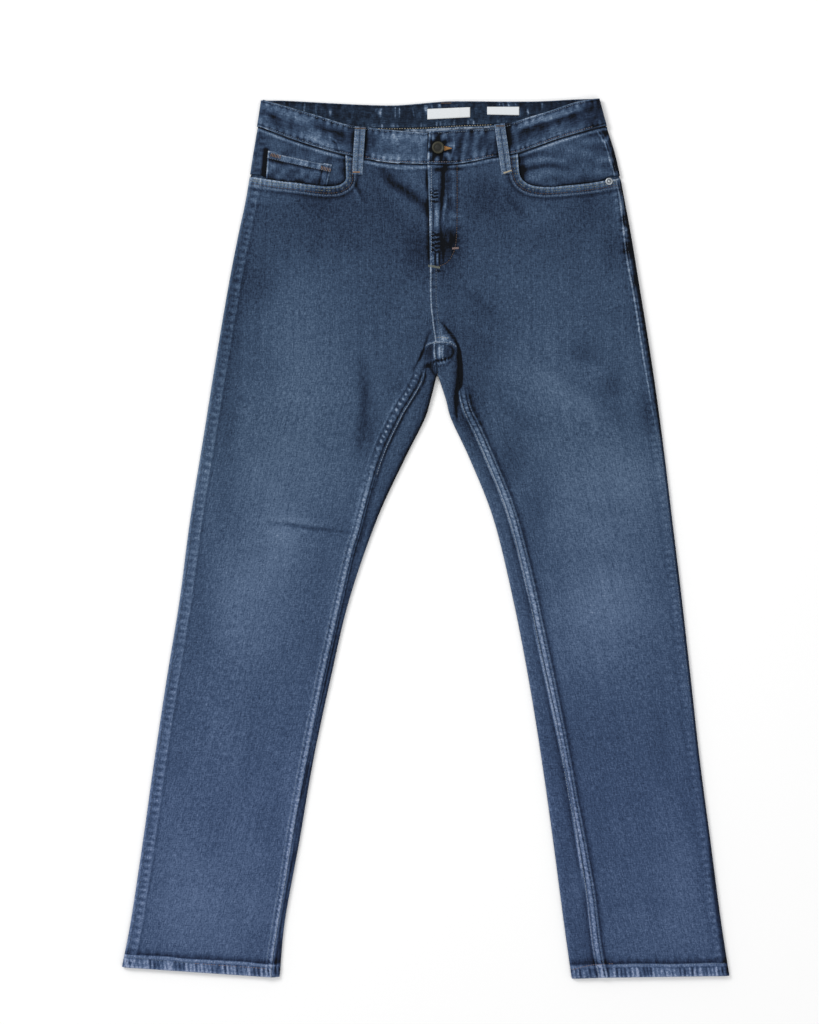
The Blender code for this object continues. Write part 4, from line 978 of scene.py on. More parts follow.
# Small painted lights and shades: centre and half widths in photograph pixels, height in mm, shade
SPOTS = [
    # fly: the smooth light lengths of the lap, the fan above its foot, and the shade round it
    ((430.6, 180), (1.5, 11), 0.1, 0.4), ((436.6, 183), (3.0, 9), 0.25, 0.45),
    ((438, 170), (5, 2.6), -0.1, -0.7), ((430.6, 218), (1.5, 14), 0.1, 0.55),
    ((436.7, 218), (2.2, 12), 0.25, 0.95), ((433.6, 217), (0.7, 12), -0.2, -0.7),
    ((433.0, 259), (0.9, 6), 0.15, 1.0), ((435.2, 260), (0.8, 6), -0.2, -1.2),
    ((437.3, 259), (0.9, 6), 0.15, 0.9), ((439.4, 259), (0.8, 6), -0.2, -1.2),
    ((441.2, 257), (0.8, 6), 0.1, 0.5), ((427, 181), (2.0, 9), -0.1, -0.9),
    ((427, 209), (4, 9), -0.2, -0.6), ((454, 169.4), (8, 1.9), -0.2, -0.9),
    ((449, 240), (7, 13), -0.1, -0.5), ((458, 214), (5, 9), 0.05, 0.25),
    # crotch: the light patch over the cross seam, partly wear and partly painted highlight, the hollow
    # under it in painted shade, and the panel that runs down
    ((443.4, 338.6), (6.0, 3.4), 0.2, 1.15), ((439.4, 330), (3.4, 5.4), 0.1, 0.5),
    ((428.6, 366), (3.8, 2.0), -0.7, -1.5), ((439.6, 352), (1.9, 7), 0.15, 0.7),
    ((432, 372), (2.6, 3.2), -0.4, -0.4), ((429.6, 353), (3.6, 8), -0.1, -0.6),
    ((447, 352), (2.2, 5), -0.1, -0.4), ((448, 376), (4, 16), 0.1, 0.15),
    ((424, 378), (2.2, 6), -0.1, -0.3),
    # left hip: the outseam's allowance shows in puckers of painted light and shade beyond the rows of
    # stitches
    ((605.4, 143), (1.8, 5), 0.1, 0.4), ((610.4, 150), (1.6, 4), 0.2, 0.4),
    ((607.6, 139), (1.5, 3), 0.1, 0.6), ((613, 156), (1.5, 3), -0.2, -0.7),
    ((615, 166), (2.6, 5.4), -0.4, -1.7), ((618.4, 175), (2.0, 6), 0.1, 0.55),
    ((617.4, 189), (1.2, 8), -0.1, -0.5), ((622, 205), (1.9, 9), 0.15, 0.7),
    ((623, 220.6), (2.4, 4.6), -0.4, -1.6), ((624.2, 231.6), (2.2, 4.6), 0.15, 0.8),
    ((626.6, 250), (3.6, 7), -0.3, -1.4), ((615.4, 210), (3.4, 24), 0.1, 0.3),
    ((630, 266), (1.6, 5), 0.1, 0.5), ((634, 282), (2.0, 6), -0.2, -0.8),
]


def spots(x, y):
    """Height and painted light and shade of the small spots: each a soft bump or hollow."""
    height, shade = np.zeros_like(x), np.zeros_like(x)
    for centre, half, rise, tone in SPOTS:
        c = from_photo([centre])[0]
        u, v = (x - c[0]) / (half[0] * PIXEL), (y - c[1]) / (half[1] * PIXEL)
        bell = np.exp(-u * u - v * v * v * v)
        height += rise * bell
        shade += tone * bell
    return height, shade


def summed(first, *others):
    """Adds up pairs of height and shade."""
    height, shade = first
    for extra_height, extra_shade in others:
        height, shade = height + extra_height, shade + extra_shade
    return height, shade


def common_fields(x, y):
    """Height, painted light and shade, and tone that no panel owns: creases, slit, spots,
    unevenness, and washing with painted light and shade in it.
    """
    height, shade = summed(creases(x, y), slit(x, y), spots(x, y))
    return height + surface_play(x, y), shade, wash_and_shade(x, y)


def leg_front(name, side, outseam, inseam, mouth, upper_seam):
    """A front: rows from the outseam, and above it the pocket mouth, to the inseam and fly."""
    seam = smooth_curve(outseam, 900)
    low = curve_at(seam, LEG_LEVELS)
    corner = np.array(mouth[0], float)
    hip = above(seam, LEG_RUN)
    hip = hip[hip[:, 1] < corner[1] - 2]
    hip_count, mouth_count = 140, 90
    hip_rows = pick(np.vstack([hip, corner]), np.linspace(0, 1, hip_count + 1))[1:]
    mouth_rows = pick(smooth_curve(mouth, 300), np.linspace(0, 1, mouth_count + 1))[1:]
    outer = np.vstack([low, hip_rows, mouth_rows])
    outer[:len(low) + hip_count, 0] -= side * EDGE_GAP
    legs = seam_stations(inseam, FAN)
    rise = pick(smooth_curve(RISE_SEAM, 200), np.linspace(0, 1, 56))[1:]
    fly_count = len(outer) - len(legs) - len(rise)
    upper = pick(np.asarray(upper_seam, float), np.linspace(0, 1, fly_count + 1))[1:]
    inner = shift_sideways(np.vstack([legs, rise]), -side * SEAM_GAP)
    inner = np.vstack([inner, upper])
    keep = whole_steps(len(outer), 40)
    outer, inner = outer[keep], inner[keep]
    width = len(NEAR_STEPS) + len(FAR_STEPS)
    middle = FRONT_MIDDLE + (1 - (FRONT_MIDDLE + width)) % INNER_STEP
    plan = rows_between(outer, inner, NEAR_STEPS, middle, FAR_STEPS)
    plan[-1, :, 1] = waist_seam(plan[-1, :, 0], True) - WAIST_GAP
    x, y = plan[..., 0], plan[..., 1]
    d = side_distance(x, y)
    height = upper_height(x, y, d)
    if side > 0:
        height += lap_raise(x, y)
    extra, shade, tone = common_fields(x, y)
    on = smoothstep((446 - y) / 12) * np.ones_like(x)
    extra, shade = summed((extra, shade), seam_fields(x, y, side, on))
    if side > 0:
        extra, shade = summed((extra, shade), outer_row_fields(x, y))
    extra, shade = summed((extra, shade), hem_fields(y - y[:1], x), mouth_fields(x, y, side))
    if side > 0:
        extra, shade = summed((extra, shade), rise_fields(x, y), fly_fields(x, y))
    else:
        # painted shade along the left front's lap edge, and a lighter strip beyond it
        shade += -0.7 * bell(x - 4.5, 3.2) * smoothstep((y - 336) / 10)
        shade += 0.5 * band_profile(-(x - 5.0), [(0, 0), (2, 0.0), (6, 0.25), (12, 0)]) * (y > 336)
    # painted shade just under the waistband, and a lighter ridge below it
    shade += band_profile(waist_seam(x, True) - y,
                          [(0, -1.3), (1.2, -0.8), (2.0, 0.2), (3.2, 0.8), (4.6, 0.2), (6.5, -0.25),
                           (10, 0)])
    extra *= smoothstep(d / 2.2)
    limit = np.where(y > 380, 0.9, 1.4)
    height = height + np.clip(extra, -2.6, limit)
    upright = np.zeros(x.shape, bool)
    upright[:np.searchsorted(outer[:, 1], corner[1] - 3), 0] = True
    grid = np.dstack([plan, height])
    return cloth_piece(name, grid, DENIM, DENIM_FACE, side, shade, tone,
                       leg_grain(x, y, side), upright)


def leg_back(name, side, outseam, inseam, leg_edge):
    """A back: rows from the inseam on top, round the inner side, and underneath to the outseam;
    past the crotch they fan out about the fork until the last one is the seam of the seat."""
    seam = shift_sideways(seam_stations(inseam, BACK_FAN), side * SEAM_GAP)
    edge = seam_stations(leg_edge, BACK_FAN)
    outer = smooth_curve(outseam, 900)
    hip = above(outer, LEG_RUN)
    side_x = np.interp(YOKE_SIDE_Y, outer[:, 1], outer[:, 0])
    hip = hip[hip[:, 1] < YOKE_SIDE_Y - 1]
    yoke_seam = np.linspace((side_x, YOKE_SIDE_Y), (CENTRE_BACK_X, YOKE_CENTRE_Y), 60)
    far = np.vstack([curve_at(outer, LEG_LEVELS), pick(np.vstack([hip, yoke_seam]), BACK_FAN)])
    far[:, 1] -= np.where(far[:, 1] > YOKE_CENTRE_Y - 1, SEAM_GAP, 0)
    keep = whole_steps(len(seam), 40)
    seam, edge, far = seam[keep], edge[keep], far[keep]
    strip = rows_between(seam, edge, [0.0, 0.5, 1.0, 1.6, 2.3, 3.2, 4.2], 41,
                         [3.4, 2.6, 2.0, 1.5, 1.0, 0.6, 0.27, 0.08, 0.0])
    spare = (1 - (strip.shape[1] + 2 * len(TURN_STEPS) - 1)) % INNER_STEP
    under = rows_between(edge, far, TURN_STEPS, UNDER_MIDDLE + spare, TURN_STEPS[::-1])[:, 1:]
    plan = np.concatenate([strip, under], axis=1)
    plan[-1, :, 0] += side * (SEAM_GAP + 0.08)
    x, y = plan[..., 0], plan[..., 1]
    on_top = (np.arange(plan.shape[1]) < strip.shape[1])[None, :] * np.ones(x.shape, bool)
    d = side_distance(x, y)
    height = np.where(on_top, upper_height(x, y, d), lower_height(y, d))
    extra, shade, tone = common_fields(x, y)
    extra, shade = summed((extra, shade), seam_fields(x, y, side, 1.0), hem_fields(y - y[:1], x))
    extra = np.clip(extra * smoothstep(d / 2.2), -1.6, 1.2)
    under_height, under_shade = creases(x, y, True)
    height = height + np.where(on_top, extra, under_height * smoothstep(d / 10))
    # Painted light and shade on the strip's inner turn: painted shade on the right leg's, which faces away
    # from the lamp, less of it down the leg, and painted light on the left leg's.  The top strips' tone is a
    # little darker too, painted shade.
    near_side = bell(d, 2.6) + 0.4 * bell(d, 8.0)
    painted_turn_light = -0.9 + 0.75 * smoothstep((60 - y) / 100) if side < 0 else 0.25
    shade = np.where(on_top, shade + painted_turn_light * near_side, under_shade)
    tone = np.where(on_top, tone - 0.12, tone)
    upright = np.zeros(x.shape, bool)
    upright[:, -1] = d[:, -1] < 1.0
    u = np.where(on_top, x, 2 * edge[:, :1] - x)
    return cloth_piece(name, np.dstack([plan, height]), DENIM, DENIM_FACE, -side, shade, tone,
                       leg_grain(u, y, side), upright, centre_seam=True)


# --- Waistband -----------------------------------------------------------------------------------
def band_section(row, height):
    """The lower and the upper point of one section of the waistband."""
    x_low, y_low, x_top, y_top = row
    return [(x_low, y_low, height), (x_top, y_top, height)]


def band_turn(row, side):
    """The band turns over at a side in half a circle, from the front down to the back."""
    radius = (BAND_FRONT_HEIGHT - BAND_BACK_HEIGHT) / 2
    x_low, y_low, x_top, y_top = row
    sections = []
    for angle in np.radians(np.linspace(90, -90, 7)):
        inward = side * radius * (math.cos(angle) - 1)
        height = BAND_BACK_HEIGHT + radius * (1 + math.sin(angle))
        sections.append(band_section((x_low + inward, y_low, x_top + inward, y_top), height))
    return sections


def fill_in(sections, furthest):
    """Adds a section half way between neighbours that are far apart, on a smooth curve."""
    s = np.concatenate([2 * sections[:1] - sections[1:2], sections,
                        2 * sections[-1:] - sections[-2:-1]])
    result = [sections[0]]
    for a, b, c, d in zip(s[:-3], s[1:-2], s[2:-1], s[3:]):
        if np.linalg.norm(c[0] - b[0]) > furthest:
            middle = (9 * (b + c) - a - d) / 16
            middle[:, 2] = (b[:, 2] + c[:, 2]) / 2
            result.append(middle)
        result.append(c)
    return np.array(result)


def band_sections():
    """The waistband's sections: from the lap over the left side, along the back, to the underlap."""
    front, back = BAND_FRONT_HEIGHT, BAND_BACK_HEIGHT
    lap = [front + BAND_LAP_RAISE, front + BAND_LAP_RAISE * 0.75, front, front, front, front]
    sections = [band_section(r, h) for r, h in zip(BAND_FRONT_LEFT, lap)]
    sections += band_turn(BAND_SIDE_LEFT, 1)
    sections += [band_section(r, back) for r in BAND_BACK]
    sections += band_turn(BAND_SIDE_RIGHT, -1)[::-1]
    sections += [band_section(r, front) for r in BAND_FRONT_RIGHT]
    return fill_in(fill_in(np.array(sections), 25.0), 16.0)


BAND = band_sections()
BUTTONHOLE = from_photo([(438, 149), (452, 149.6)])


def waist_seam(x, front):
    """y of the waistband's lower edge, at the front or at the back."""
    low = BAND[:, 0]
    middle = (BAND_FRONT_HEIGHT + BAND_BACK_HEIGHT) / 2
    low = low[low[:, 2] > middle - 0.1] if front else low[low[:, 2] < middle + 0.1]
    low = low[np.argsort(low[:, 0])]
    return np.interp(x, low[:, 0], low[:, 1])


def band_inside(x, y, run, from_low, from_top):
    """Painted light and shade inside the back: light upright ticks where the cloth is gathered, the
    lower seam and what shows under it."""
    leaning = x + 0.3 * (y - 505) * soft_noise(x, 0 * x, 40.0, 114)
    ticks = smoothstep((soft_noise(leaning, y * 0.05, 2.2, 111) - 0.25) / 0.5)
    seam_y = np.interp(x, [-110, -58, -31, 0.6, 40, 82, 110], [504, 504.5, 504.9, 505.6, 508.1, 509.6, 511])
    over = y - seam_y
    strip = smoothstep((x + 30) / 8) * smoothstep((96 - x) / 12)
    inside = band_profile(over, [(-9, 0.9), (-1.2, 1.0), (-0.5, -1.0), (0.6, -1.1), (2.2, -0.1), (5, -0.3),
                                 (30, -0.5)])
    inside = np.where(over < -0.6, inside * strip - 0.8 * (1 - strip), inside)
    inside += band_profile(from_top, [(0, 0.9), (0.9, 0.5), (1.8, -0.4), (3, 0.0)])
    reach = smoothstep((from_top - 1.0) / 2) * smoothstep((22 - from_top) / 8)
    inside += 1.2 * ticks * reach * smoothstep(0.5 + 1.2 * soft_noise(x, y, 9.0, 116))
    low_ticks = smoothstep((soft_noise(x, y * 0.05, 2.4, 117) - 0.3) / 0.4)
    inside += 0.9 * low_ticks * smoothstep((over - 0.8) / 1) * smoothstep((8 - over) / 3)
    inside += 0.3 * soft_noise(run, from_low, 7.0, 113) + 0.3 * soft_noise(run, from_low * 0.3, 3.0, 119)
    return inside


def waistband():
    """One flattened loop of doubled denim, with light edges, partly wear and partly painted
    highlight, and puckers along its stitching in painted light and shade.
    """
    sections = BAND.reshape(len(BAND), 6)
    sections = pick(sections, np.linspace(0, 1, 961)).reshape(-1, 2, 3)
    depth = BAND_DEPTH
    across = np.concatenate([[0, 0.4, 0.9, 1.5], np.linspace(2.2, depth - 2.2, 25),
                             [depth - 1.5, depth - 0.9, depth - 0.4, depth]])
    part = (across / depth)[None, :, None]
    grid = sections[:, :1] + (sections[:, 1:] - sections[:, :1]) * part
    step = np.linalg.norm(np.diff(grid[:, 0], axis=0), axis=1)
    run = np.concatenate([[0], np.cumsum(step)])[:, None] + 0 * across[None, :]
    x, y, z = grid[..., 0], grid[..., 1], grid[..., 2]
    from_low, from_top = across[None, :] + 0 * x, depth - across[None, :] + 0 * x
    edge = np.minimum(from_low, from_top)
    front = smoothstep((z - 4.0) / 1.5)
    wave_low, wave_top = puckers(run, 8.4, 101), puckers(run + 3, 9.2, 103)
    relief = 0.2 * wave_low * bell(from_low - 5, 4.5) + 0.2 * wave_top * bell(from_top - 5, 4)
    relief += 0.22 * soft_noise(run, from_low * 1.4, 26.0, 105) + 0.10 * soft_noise(run, from_low, 8.0, 107)
    relief += band_profile(edge, [(0, -0.45), (0.7, 0.0), (1.6, 0.1), (2.6, -0.22), (3.6, 0.1), (6, 0.05),
                                  (9, 0)])
    shade = band_profile(edge, [(0, 1.0), (0.9, 0.8), (1.8, 0.0), (2.6, -1.0), (3.6, -0.3), (5.0, 0.15),
                                (9, 0.1), (14, -0.1), (20, -0.1)])
    shade += 0.5 * wave_low * bell(from_low - 4.6, 3.6)
    shade += 0.5 * wave_top * bell(from_top - 4.6, 3.6)
    mottle = soft_noise(run, from_low * 1.9, 24.0, 109)
    shade += 0.34 * mottle + 0.3 * soft_noise(run, from_low * 0.6, 5.0, 110) - 0.4
    shade += 0.35 * bell(x + 145, 42) + 0.5 * smoothstep((x + 84) / 40) * smoothstep((4 - x) / 10)
    shade += 0.12 * bell(x + 195, 16)
    # beyond the left loop: a light upper third and a dark middle line
    beyond = smoothstep((x - 108) / 14) * smoothstep((200 - x) / 20)
    shade += beyond * band_profile(from_top + 3 * soft_noise(run, 0 * run, 30.0, 112),
                                   [(4, 0.3), (11, 0.45), (15, -0.8), (19, -0.5), (24, 0.05), (40, 0)])
    # painted shade where the band turns down at the left side
    shade += -0.5 * smoothstep((x - 188) / 20)
    bend, tone_bend = creases(x, y)
    relief += bend * front
    shade += tone_bend * front
    between = smoothstep((x - 34) / 10) * smoothstep((110 - x) / 10)
    shade += between * 0.55 * soft_noise(run, from_low * 0.2, 6.5, 118)
    # round the button: puckers in painted light and shade, a painted shadow close round it, light beside the
    # buttonhole, and the lap's end edge in painted light and shade
    hole, _ = along_line(BUTTONHOLE, x, y)
    on_lap = front * (run < 60)
    around = np.arctan2(y - BUTTON_AT[1], x - BUTTON_AT[0])
    radial = np.sqrt((x - BUTTON_AT[0]) ** 2 + (y - BUTTON_AT[1]) ** 2)
    relief += on_lap * 0.25 * np.sin(7 * around) * bell(radial - 13, 6)
    shade += on_lap * (0.9 * np.sin(7 * around) * bell(radial - 13, 6)
                       - 1.1 * bell(radial - 8.5, 3.4) + 0.4 * bell(hole - 3.0, 1.3))
    relief += on_lap * band_profile(run, [(0, -0.3), (1.2, 0.1), (3, -0.2), (5, 0.1), (9, 0)])
    shade += on_lap * band_profile(run, [(0, 1.2), (1.5, 0.8), (3, -0.5), (4.4, 0.6), (6.5, -0.3), (10, 0)])
    # under the left lap the underlap's end lies in deep shade
    under = (run > run.max() - 21.5) * 1.0
    shade -= 1.2 * under
    # painted shade under each front loop, and the loop's painted shadow on its right
    for centre in (-82, 95):
        shade += -0.9 * front * np.exp(-(((x - centre) / 9.5) ** 6))
        shade += -0.5 * front * bell(x - centre - 9.5, 3.0)
    inside = band_inside(x, y, run, from_low, from_top)
    flat = smoothstep(edge / 0.5)
    grid[..., 2] += np.clip(relief, -0.5, 0.6) * front * flat
    tone = 0.10 * soft_noise(run, from_low, 30.0, 115) - 0.02
    return cloth_piece("waistband", grid, BAND_THICK, DENIM_FACE, 1, shade * front, tone, (from_low, run),
                       inner_step=1, inner_material=DENIM_INSIDE, inner_shade=inside * (1 - front) - front)


# --- Pockets -------------------------------------------------------------------------------------
COIN_SIDE = from_photo([(266.5, 151), (265.5, 160), (264.5, 176)])


def pocket_facing(name, side, mouth, outseam):
    """The facing behind a front pocket's mouth, from the waist seam to just below the mouth."""
    outer = smooth_curve(outseam, 400)
    side_low = mouth[0][1] + 3.5
    inner_x = mouth[-1][0] - side * 14
    rows = np.linspace(0, 1, 49)[:, None]
    side_y = side_low + (BAND_SIDE_LEFT[1] - side_low) * rows
    edge_x = np.interp(side_y, outer[:, 1], outer[:, 0]) - side * EDGE_GAP
    turned_x = edge_x - side * np.array(TURN_STEPS + [2.8, 3.8, 5.0, 6.5, 8.0])
    rest = np.linspace(0, 1, 79 - turned_x.shape[1])[1:]
    x = np.hstack([turned_x, turned_x[:, -1:] + (inner_x - turned_x[:, -1:]) * rest])
    across = np.concatenate([np.zeros(turned_x.shape[1]), rest])
    keep = whole_steps(x.shape[1], 30)
    x, across = x[:, keep], across[keep]
    low = side_low - 32 * smoothstep(across * 2.4) - 4 * across
    y = low + (waist_seam(x, True) - WAIST_GAP - low) * rows
    d = side_distance(x, y)
    height = upper_height(x, y, d, FACING_DROP)
    mouth_line, _ = along_line(LINES["mouth_" + SIDE_NAMES[side]], x, y)
    mouth_gap = abs(mouth_line)
    to_waist = waist_seam(x, True) - y
    # painted shade in the gap under the mouth's edge
    shade = -(0.9 if side < 0 else 1.2) * bell(mouth_gap, 2.0) - 0.35 * bell(mouth_gap, 7.0)
    # painted shade just under the waistband, and a lighter ridge below it
    shade += band_profile(to_waist, [(0, -1.4), (1.2, -0.9), (2.2, 0.2), (3.6, 1.0), (5.2, 0.3), (7, -0.3),
                                     (12, 0)])
    shade += 0.2 * soft_noise(x, y, 9.0, 121) + 0.35 * soft_noise(x * 0.35, y, 8.0, 122) - 0.05
    if side < 0:
        # painted shade in the crevice beside the coin pocket
        left_of_coin, _ = along_line(COIN_SIDE, x, y)
        shade += -2.6 * bell(left_of_coin, 2.9)
    else:
        shade += outer_row_fields(x, y)[1]
    # puckers along the side, whose edge is painted light on the right facing, which faces the lamp, and
    # painted shade on the left one
    out_wave = puckers(y, 8.0, 123) * bell(d - 8, 4)
    shade += 0.4 * out_wave + band_profile(d, [(0, 0.5 if side < 0 else -0.4), (2.2, 0.0), (6, 0)])
    # the opening gapes along the upright end of the mouth, in painted shade
    deep = np.exp(-((x - mouth[-3][0] - side * 1.0) / 3.4) ** 2 - ((y - mouth[-2][1] + 2) / 15.0) ** 2)
    shade -= (0.2 if side < 0 else 1.3) * deep
    for rise, light in (creases(x, y), spots(x, y)):
        height = height + 0.6 * np.clip(rise, -0.6, 0.3)
        shade = shade + light
    upright = np.zeros(x.shape, bool)
    upright[:, 0] = True
    return cloth_piece(name, np.dstack([x, y, height + 0.12 * out_wave]), POCKETING, DENIM_FACE, side, shade,
                       wash_and_shade(x, y), (x, y), upright)


def coin_pocket():
    """The small pocket on the right facing; its lower part lies under the front."""
    top_left, top_right, low_right, low_left = [np.array(p, float) for p in COIN_CORNERS]
    rows, columns = np.linspace(0, 1, 41)[:, None, None], np.linspace(0, 1, 61)[None, :, None]
    low = low_left + (low_right - low_left) * columns
    top = top_left + (top_right - top_left) * columns
    u = columns * COIN_WIDTH
    tab = smoothstep((13 - u) / 3) + smoothstep((u - 68) / 3)
    sag = 1.7 * (1 - tab) * rows ** 4
    plan = low + (top - low) * rows + np.concatenate([0 * sag, -sag], axis=2)
    x, y = plan[..., 0], plan[..., 1]
    height = upper_height(x, y, side_distance(x, y), FACING_DROP) + POCKETING + CLEAR
    from_top = (1 - rows[..., 0]) * COIN_DEPTH + 0 * x
    u, tab = u[..., 0] + 0 * x, tab[..., 0] + 0 * x
    wave = puckers(u, 8.0, 131)
    height += 0.18 * wave * bell(from_top - 5, 4)
    # Painted light and shade: light on the top edge and sides, partly painted highlight, a painted shadow
    # under the top hem, and painted shade along the front's mouth edge over the pocket.
    shade = band_profile(from_top, [(0, 1.1), (1.4, 0.9), (2.4, 0.1), (4, 0.35), (8.4, 0.35), (9.2, -0.5),
                                    (10.2, -1.3), (12, -0.6), (15, 0.0), (20, 0)])
    shade += 0.35 * wave * bell(from_top - 5, 4.5) + 0.45 * soft_noise(x, y, 6.0, 133)
    mouth_gap = abs(along_line(LINES["mouth_right"], x, y)[0])
    shade += -1.2 * bell(mouth_gap, 2.4) - 0.35 * bell(mouth_gap, 9.0)
    from_side = np.minimum(u, COIN_WIDTH - u)
    shade += band_profile(from_side, [(0, 0.9), (1.4, 0.5), (2.6, -0.4), (4, 0)])
    below = smoothstep((from_top - 9) / 2)
    shade += below * band_profile(COIN_WIDTH - u, [(2, 0), (4, 0.45), (8.6, 0.35), (10.2, -1.0), (12.4, 0)])
    shade -= tab * 0.5 * bell(from_top - 5, 3.0)
    shade += 0.6 * (1 - below) * (1 - tab) * soft_noise(u, 0 * u, 5.5, 135)
    shade -= 0.7 * bell(from_side - 12.2, 1.3) * (1 - below)
    return cloth_piece("coin_pocket", np.dstack([plan, height]), POCKETING, DENIM_FACE, -1, shade,
                       wash_and_shade(x, y) + 0.05, (x, y))


# --- Belt loops and labels -----------------------------------------------------------------------
def front_loop(name, line):
    """A folded strip over both the front and the waistband, bowed out between its two ends."""
    line = smooth_curve(line, 49)
    across = np.array([-0.5, -0.47, -0.43, -0.37, -0.3, -0.2, -0.1, -0.05, 0, 0.05, 0.1, 0.2, 0.3, 0.37, 0.43,
                       0.47, 0.5]) * LOOP_WIDTH
    step = np.gradient(line, axis=0)
    step /= np.linalg.norm(step, axis=1)[:, None]
    square = np.stack([step[:, 1], -step[:, 0]], axis=1)
    plan = line[:, None] + square[:, None] * across[None, :, None]
    x, y = plan[..., 0], plan[..., 1]
    band_top = BAND_FRONT_HEIGHT + BAND_THICK / 2
    under = np.maximum(upper_height(x, y, side_distance(x, y)) + DENIM / 2, band_top)
    rows = np.linspace(0, 1, len(line))
    middle = under.max(axis=1) + CLEAR + DENIM / 2 + LOOP_BOW * np.sin(np.pi * rows)
    run = rows[:, None] * 60.0 + 0 * x
    edge = LOOP_WIDTH / 2 - abs(across)[None, :] + 0 * x
    wave = puckers(run + 30 * np.sign(across)[None, :], 6.4, 141)
    relief = band_profile(edge, [(0, -0.3), (0.6, 0.05), (1.3, 0.0), (2.2, 0.25), (4.4, 0.3), (5.6, -0.05),
                                 (6.3, -0.3)])
    shade = band_profile(edge, [(0, 0.6), (0.7, 0.75), (1.4, -0.2), (2.4, 0.45), (4.4, 0.5), (5.4, -0.3),
                                (6.3, -0.6)])
    relief = relief + 0.1 * wave
    shade = 0.8 * shade + 0.25 * wave - 0.05
    grid = np.dstack([plan, middle[:, None] + relief * 0.8])
    return cloth_piece(name, grid, DENIM, DENIM_FACE, -1, shade, 0.2 + 0 * x, (x, y))


def label(name, corners, fold_at=None):
    """A blank woven label on the inner face of the back waistband."""
    low_left, low_right, top_right, top_left = [np.array(c, float) for c in corners]
    rows, columns = np.linspace(0, 1, 9)[:, None, None], np.linspace(0, 1, 33)[None, :, None]
    low = low_left + (low_right - low_left) * columns
    top = top_left + (top_right - top_left) * columns
    plan = low + (top - low) * rows
    height = np.full(plan.shape[:2], BAND_BACK_HEIGHT + BAND_THICK / 2 + CLEAR + LABEL_THICK / 2)
    if fold_at is not None:
        height += 0.25 * bell(columns[..., 0] - fold_at, 0.03)
    return cloth_piece(name, np.dstack([plan, height]), LABEL_THICK, LABEL_SATIN, -1)


# --- Build the cloth -----------------------------------------------------------------------------
def build_cloth():
    """Every piece of cloth, by the name of the solid that it stands for."""
    made = [
        leg_back("back_right", -1, OUTSEAM_RIGHT, INSEAM_RIGHT, LEG_EDGE_RIGHT),
        leg_back("back_left", 1, OUTSEAM_LEFT, INSEAM_LEFT, LEG_EDGE_LEFT),
        pocket_facing("facing_right", -1, MOUTH_RIGHT, OUTSEAM_RIGHT),
        pocket_facing("facing_left", 1, MOUTH_LEFT, OUTSEAM_LEFT),
        coin_pocket(),
        leg_front("front_right", -1, OUTSEAM_RIGHT, INSEAM_RIGHT, MOUTH_RIGHT, UNDERLAP),
        leg_front("front_left", 1, OUTSEAM_LEFT, INSEAM_LEFT, MOUTH_LEFT, LAP_EDGE),
        waistband(),
    ]
    made += [front_loop(name, line) for name, line in FRONT_LOOPS.items()]
    made += [label("label_main", MAIN_LABEL, 0.72), label("label_size", SIZE_LABEL)]
    return {obj.name.replace("_cloth", ""): obj for obj in made}


CLOTH = build_cloth()


# --- Stitching -----------------------------------------------------------------------------------
def surface_tree(names):
    """One search tree over the four-sided faces of some pieces of cloth, outer and inner."""
    vertices, polygons = [], []
    for name in names:
        mesh = CLOTH[name].data
        points = np.empty(len(mesh.vertices) * 3, np.float32)
        mesh.vertices.foreach_get("co", points)
        start = len(vertices)
        vertices += points.reshape(-1, 3).tolist()
        polygons += [[start + v for v in p.vertices] for p in mesh.polygons if len(p.vertices) == 4]
    return BVHTree.FromPolygons(vertices, polygons)


TREE = surface_tree(CLOTH)
THREAD_MESHES = {kind: ([], []) for kind in THREADS}


def drop(points):
    """Points in plan, in millimetres, let fall on the cloth: their heights in millimetres."""
    heights = []
    for x, y in points:
        above_cloth = Vector(((x - PLAN_CENTRE[0]) * MM, (y - PLAN_CENTRE[1]) * MM, 0.05))
        hit = TREE.ray_cast(above_cloth, Vector((0, 0, -1)))
        heights.append(hit[0].z / MM if hit[0] is not None else np.nan)
    return np.array(heights)


RING = np.linspace(0, 2 * np.pi, 6, endpoint=False)
CAPSULE_AT = np.array([0.0, 0.12, 0.5, 0.88, 1.0])
CAPSULE_RADIUS = np.array([0.35, 0.85, 1.0, 0.85, 0.35])


def add_stitches(kind, starts, ends, radius, sink=0.2):
    """Each stitch is a short thread of five rings of six points, its ends sunk in the cloth."""
    starts, ends = np.asarray(starts, float), np.asarray(ends, float)
    low, high = drop(starts), drop(ends)
    mid = drop((starts + ends) / 2)
    good = ~(np.isnan(low) | np.isnan(high) | np.isnan(mid))
    good &= (abs(low - high) < 2.5) & (abs(mid - (low + high) / 2) < 1.2)
    vertices, faces = THREAD_MESHES[kind]
    for a, b, za, zb, zm in zip(starts[good], ends[good], low[good], high[good], mid[good]):
        along = (b - a) / max(np.linalg.norm(b - a), 1e-6)
        square = np.array([-along[1], along[0]])
        first = len(vertices)
        zs = [za - radius * (0.6 + sink), za + radius * 0.1, zm + radius * (0.75 - sink),
              zb + radius * 0.1, zb - radius * (0.6 + sink)]
        for t, r, z in zip(CAPSULE_AT, CAPSULE_RADIUS * radius, zs):
            for angle in RING:
                offset = square * r * math.cos(angle)
                vertices.append((a[0] + (b[0] - a[0]) * t + offset[0], a[1] + (b[1] - a[1]) * t + offset[1],
                                 z + r * math.sin(angle) * 0.8))
        for ring in range(4):
            for k in range(6):
                a0, a1 = first + ring * 6 + k, first + ring * 6 + (k + 1) % 6
                faces.append((a0, a0 + 6, a1 + 6, a1))
        faces.append(tuple(first + k for k in range(6)))
        faces.append(tuple(first + 24 + k for k in range(5, -1, -1)))


